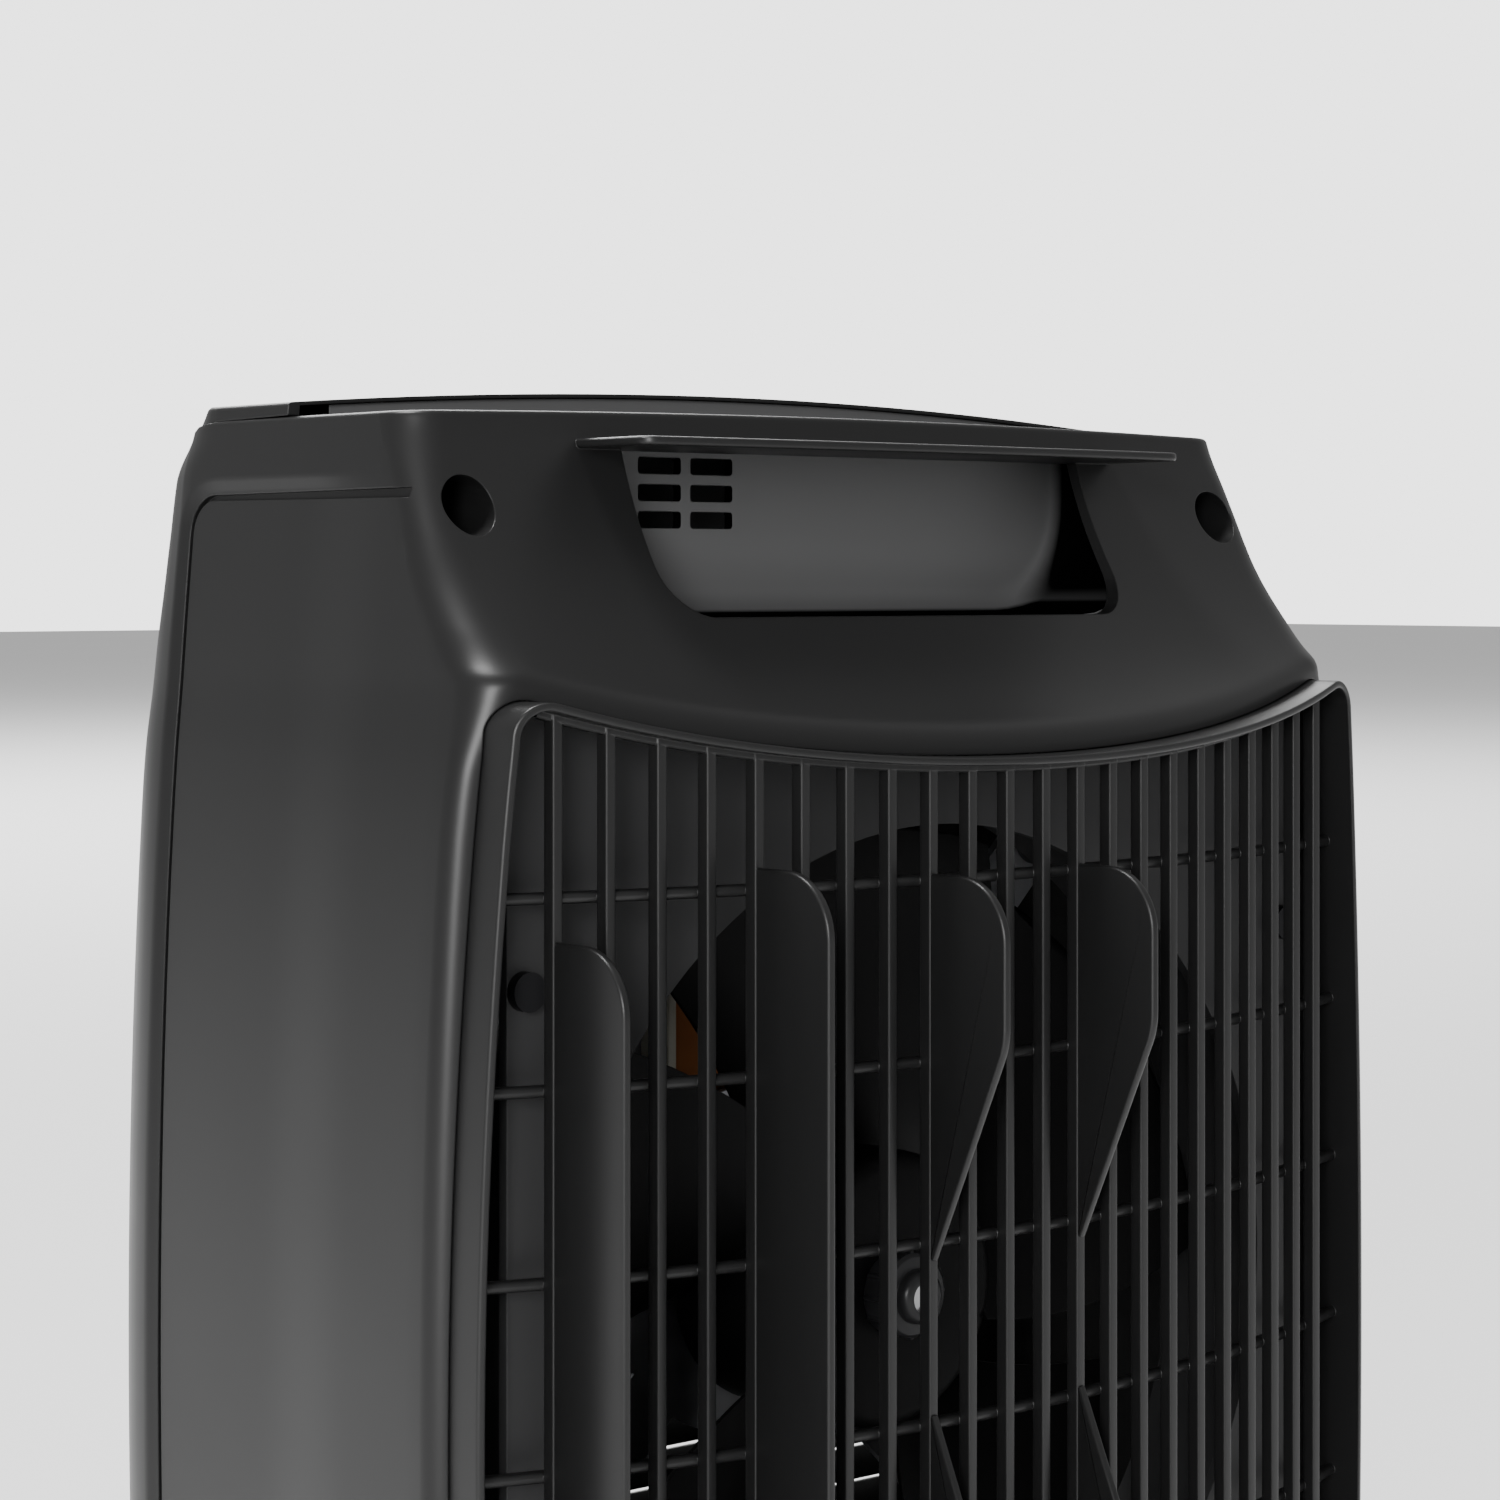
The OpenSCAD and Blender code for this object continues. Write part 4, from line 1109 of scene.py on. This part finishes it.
def control_cover():
    """Grey plate in the slit between shell and bezel, with side tabs and a nose under the crown."""
    set_back = 1.4              # further back than in the CAD
    y0, y1 = COVER_LOW[1] + set_back, COVER_HIGH[1] + set_back
    high = 268
    tabs = new_solid("tabs", lambda bm: both_sides(bm, 74.5, SLIT_HALF_W - 0.3, y0, y1, 240, high))
    links = new_solid("links", lambda bm: both_sides(bm, 69, 75, y0, y1, 240, 255))
    nose = block("nose", -83, 83, y0 + 0.5, LIP_Y - 1.4, 255, high)
    combine(nose, "DIFFERENCE", shell_solid("shell_room"))
    cover = plate("rear_cover_plate", rounded_rect(-69.8, 69.8, 214, high, (1, 0.1), 3), y0, y1)
    combine(cover, "UNION", tabs, links, nose)
    combine(cover, "INTERSECT", bezel_solid("cover_form", WALL + 0.1, CROWN_ROOM_Z))
    # The pocket's material paints shade here too: the cover's sideways and upward faces come out black.
    finish_piece(cover, POCKET, "control_cover")


# ---------------- front: grille, panel, knob

FRAME_T = 2.7
FRAME_D = 6
SLAT_COUNT = 25
SLAT_PITCH = 6.9
SLAT_END = 84.2
POST_COUNT = 5
POST_PITCH = 32
LOUVRE_MIDDLE = 3  # depth of the slats' middle behind the front


def louvre_frame(bm):
    """Frame round the slats with a rounded front edge."""
    soft = 0.6
    section = [(0, FRAME_D), (0, soft)] + rounding(soft, 15, 90, 4)
    section += [(FRAME_T - inset, depth) for inset, depth in section[:0:-1]] + [(FRAME_T, FRAME_D)]
    ring_wall(bm, opening(OUTLET, -LOUVRE_FIT, 8), section, lambda x: FRONT_LOW[1])


def louvre_slats(bm):
    """Level slats that slope by 45 degrees, shorter in the frame's rounded corners."""
    lean = sqrt(0.5)
    flat = rounded_rect(-0.8, 0.8, -3.3, 3.3, (0.4, 0.75), 4)
    slat = [((across + depth) * lean, (depth - across) * lean) for across, depth in flat]
    low_z, high_z = OUTLET[1] + 11, OUTLET[2] - 11
    for z in [AXIS_Z + dz for dz in centred(SLAT_COUNT, SLAT_PITCH)]:
        end = SLAT_END - 0.45 * max(0, low_z - z, z - high_z)
        loft(bm, [[(x, FRONT_LOW[1] + LOUVRE_MIDDLE - depth, z + up) for up, depth in slat]
                  for x in (-end, end)])


def louvre_posts(bm):
    """Upright posts behind the slats."""
    ends = (OUTLET[1] + 1.4, OUTLET[2] - 1.4)
    for x in centred(POST_COUNT, POST_PITCH):
        post = rounded_rect(x - 1, x + 1, 0, 3, (0.4, 0.4), 3)
        loft(bm, [[(across, FRONT_LOW[1] + LOUVRE_MIDDLE + depth, z) for across, depth in post]
                  for z in ends])


def front_grille():
    """Slatted louvre of the air outlet."""
    def build(bm):
        for part in (louvre_frame, louvre_slats, louvre_posts):
            part(bm)
    finish_piece(new_solid("front_louvre", build), GRILLE, "front_grille")


def panel_marks(bm):
    """Setting marks round the knob: one dot for off, up to four for the third step."""
    face = PANEL_LOW[1]
    for k, turn in enumerate((0, 45, 90, 135)):
        a = radians(90 + turn)
        for r in [20.5 + 1.9 * step for step in range(k + 1)]:
            cylinder(bm, -r * cos(a), KNOB_Z + r * sin(a), 0.65, face - 0.12, face + 0.1, 20)


def control_panel():
    """Panel plate with a rounded front edge, the knob's hole and the setting marks."""
    face = PANEL_LOW[1]
    outline = opening(WINDOW, -WINDOW_FIT, 8)
    layers = [(face + rise, inset_outline(outline, inset)) for inset, rise in rounding(0.4, 90, 0, 4)]
    layers.append((PANEL_HIGH[1], outline))
    panel = new_solid("panel_plate", lambda bm: prism(bm, layers))
    combine(panel, "DIFFERENCE", rod("hole", 0, KNOB_Z, 4.6, -70, -50))
    finish_piece(panel, PANEL, "control_panel")
    finish_piece(new_solid("panel_dots", panel_marks), MARKING, "control_panel")


def knob_body(bm):
    """The knob's body: rounded front edge and a fluted grip."""
    front, back = KNOB_LOW[1], KNOB_HIGH[1]
    edge_r = 2.1
    # radius, y and how deep the flutes are there
    profile = [(11.5, front + 0.5, 0)]
    profile += [(15 - inset, front + rise, 0) for rise, inset in rounding(edge_r, 20, 90, 5)]
    profile += [(15.9, front + 2.4, 0.6), (16.6, front + 3.2, 1), (16.9, back - 0.8, 1), (16.5, back, 0.6)]
    loops = []
    for radius, y, grip in profile:
        loop = []
        for a in turns(180):
            r = radius - 0.35 * grip * (0.5 + 0.5 * cos(36 * a))
            loop.append((r * cos(a), y, KNOB_Z + r * sin(a)))
        loops.append(loop)
    loft(bm, loops)


def speed_knob():
    """Knob with a blind bore, a recess behind and a white line let into its front."""
    front, back = KNOB_LOW[1], KNOB_HIGH[1]
    knob = new_solid("knob_cap", knob_body)
    combine(knob, "DIFFERENCE", rod("recess", 0, KNOB_Z, 8.5, back - 2.8, back + 1, 64),
            rod("bore", 0, KNOB_Z, 3.05, back - 7.6, back - 2),
            block("line", -0.7, 0.7, front - 1, front + 1.1, KNOB_Z + 7.4, KNOB_Z + 20, round_r=0.3))
    finish_piece(knob, KNOB, "speed_knob", 30, body="knob")
    inlay = block("knob_line", -0.62, 0.62, front + 0.6, front + 1.3, KNOB_Z + 7.5, KNOB_Z + 12.5,
                  round_r=0.25)
    finish_piece(inlay, MARKING, "speed_knob", body="knob")


# ---------------- gland and feet

def cord_gland():
    """Rubber bush for the mains cord: a groove for the casing's wall and a rounded outer flange."""
    y0, y1 = GLAND_LOW[1], GLAND_HIGH[1]
    bore, inner, neck, outer, soft = 3.7, 7.25, 5.9, 7.55, 1.6
    profile = [(bore, y0), (inner, y0), (inner, y0 + 2.4), (neck, y0 + 2.6), (neck, y1 - 2.9)]
    profile += [(outer, y1 - 2.75)] + arc((outer - soft, y1 - soft), soft, 0, 90, 6)
    profile += [(bore + 0.6, y1), (bore, y1 - 0.6)]
    gland = new_solid("gland_bush", lambda bm: lathe(bm, profile, (GLAND_X, GLAND_Z), 56))
    finish_piece(gland, RUBBER, "cord_gland")


def rubber_feet():
    """Four push-in feet: rounded pad, neck and barb."""
    pad_r, pad_top, neck_r = 8.0, 3.95, 2.4
    barb_z = FEET_HIGH[2] - 1.6
    profile = [(5.2, 0.6), (5.6, 0.0), (7.0, 0.0), (7.7, 0.4), (pad_r, 1.2), (7.8, pad_top),
               (neck_r, pad_top), (neck_r, barb_z), (3.0, barb_z), (2.2, FEET_HIGH[2])]

    def build(bm):
        for cx in (FEET_LOW[0] + pad_r, FEET_HIGH[0] - pad_r):
            for cy in (FEET_LOW[1] + pad_r, FEET_HIGH[1] - pad_r):
                loft(bm, [[(cx + r * cos(a), cy + r * sin(a), z) for a in turns(40)]
                          for r, z in profile])
    finish_piece(new_solid("foot_set", build), RUBBER, "rubber_feet")


# ---------------- finishes of the kept CAD parts

def finish_kept_nodes():
    """Materials for the CAD's own parts that no piece replaces."""
    fine, coarse = (900, 900, 900), (300, 300, 300)
    steel = metal("bright_steel", (0.62, 0.62, 0.63), 0.3)
    zinc = metal("zinc_steel", (0.56, 0.58, 0.6), 0.38, fine, 0.15)
    black_steel = metal("black_steel", (0.03, 0.03, 0.032), 0.5, fine, 0.15)
    die_cast = metal("die_cast", (0.5, 0.5, 0.52), 0.52, (700, 700, 700), 0.5)
    bronze = metal("bronze", (0.6, 0.42, 0.2), 0.4, fine, 0.3)
    finishes = {
        "switch_shaft": steel, "motor_shaft": steel, "switch_nut": zinc, "motor_nuts": zinc,
        "motor_screws": zinc, "spider_screws": zinc, "shroud_screws": black_steel,
        "case_screws": black_steel, "rear_bearing_bracket": die_cast, "front_bearing_bracket": die_cast,
        "rear_bushing": bronze, "front_bushing": bronze,
        "motor_spider": metal("pressed_steel", (0.5, 0.51, 0.53), 0.45, coarse, 0.2),
        "rotor_core": metal("rotor_laminations", (0.4, 0.41, 0.43), 0.4, (5, 2600, 5), 0.6),
        "stator_core": metal("stator_laminations", (0.34, 0.35, 0.37), 0.45, (5, 2600, 5), 0.6),
        "shading_rings": metal("copper", (0.8, 0.42, 0.27), 0.3, (400, 400, 400), 0.15),
        "motor_coil": metal("enamelled_wire", (0.12, 0.045, 0.016), 0.42, (30, 30, 3000), 0.8),
        "rotary_switch": plastic("switch_resin", (0.42, 0.38, 0.28), 0.5),
        "terminal_block": plastic("terminal_nylon", (0.6, 0.58, 0.5), 0.45),
        "coil_bobbin": plastic("bobbin_nylon", (0.62, 0.6, 0.5), 0.45),
        "thrust_washers": plastic("washer_nylon", (0.7, 0.68, 0.6), 0.45),
        "switch_leads": plastic("lead_grey", (0.35, 0.35, 0.33), 0.5),
        "motor_leads": plastic("lead_red", (0.35, 0.03, 0.025), 0.45),
    }
    for name, material in finishes.items():
        node = frame["nodes"][name]
        for slot in node.material_slots:
            slot.material = material
        if not node.material_slots:
            node.data.materials.append(material)


# ---------------- stage

FLOOR_HALF = 14.0
EYE = (0.4023, 0.4613, 0.234)
EYE_TURN = 40.17  # the camera's heading in degrees, from straight at the rear
LENS = 86.18
LENS_SHIFT = -0.1137  # the camera looks level and its picture is moved instead


def floor():
    """Pale floor that goes far beyond the object."""
    mat, shader = new_material("floor_pale", Roughness=0.9)
    noise = add_node(mat, "TexNoise", Scale=30)
    uneven_colour(mat, shader, noise, (0.86, 0.86, 0.86), (0.88, 0.88, 0.88))
    mesh = bpy.data.meshes.new("floor")
    corners = [(x * FLOOR_HALF, y * FLOOR_HALF, 0) for x, y in ((-1, -1), (1, -1), (1, 1), (-1, 1))]
    mesh.from_pydata(corners, [], [(0, 1, 2, 3)])
    mesh.materials.append(mat)
    place_object("floor", mesh)


def aim(obj, direction):
    """Turns a light or the camera to look along a direction."""
    obj.rotation_euler = direction.to_track_quat("-Z", "Y").to_euler()


def area_light(name, place, target, size, power):
    """Rectangular light at a place, aimed at a target."""
    light = bpy.data.lights.new(name, "AREA")
    light.shape = "RECTANGLE"
    light.size, light.size_y = size
    light.energy = power
    obj = place_object(name, light)
    obj.location = place
    aim(obj, Vector(target) - Vector(place))


def studio_world():
    """Soft white light from all round; the backdrop is seen brighter than it shines on the object."""
    world = bpy.data.worlds.new("studio")
    bpy.context.scene.world = world
    world.use_nodes = True
    nodes = world.node_tree.nodes
    soft = nodes["Background"]
    set_inputs(soft, {"Color": (1.0, 1.0, 1.0, 1), "Strength": 0.56})
    backdrop = add_node(world, "Background", Color=(1.0, 1.0, 1.0, 1), Strength=3.0)
    path = add_node(world, "LightPath")
    mix = add_node(world, "MixShader")
    wire(path, "Is Camera Ray", mix, "Fac")
    wire(soft, "Background", mix, 1)
    wire(backdrop, "Background", mix, 2)
    wire(mix, "Shader", nodes["World Output"], "Surface")


def lights():
    """World light, a key behind the camera, a wash over the floor beyond the object, a top light."""
    studio_world()
    area_light("key", (1.12, 1.0, 0.5), (0.05, 0, 0.17), (0.35, 0.5), 25)
    area_light("wash", (-1.3, -2.6, 2.3), (-1.3, -2.2, 0), (2.4, 2.0), 180)
    area_light("top", (0.3, -0.15, 1.25), (0.05, 0.0, 0.22), (0.3, 0.3), 17)


def camera():
    """Level camera at the picture's viewpoint."""
    data = bpy.data.cameras.new("camera")
    data.lens = LENS
    data.sensor_width = 36
    data.shift_y = LENS_SHIFT
    obj = place_object("camera", data)
    obj.location = EYE
    turn = radians(EYE_TURN)
    aim(obj, Vector((-sin(turn), -cos(turn), 0)))
    bpy.context.scene.camera = obj


camera()
lights()
floor()
rear_shell()
front_bezel()
rear_grille()
cord_fins()
inlet_shroud()
handle_pocket()
control_cover()
front_grille()
control_panel()
speed_knob()
fan()
hub_nut()
cord_gland()
rubber_feet()
finish_kept_nodes()
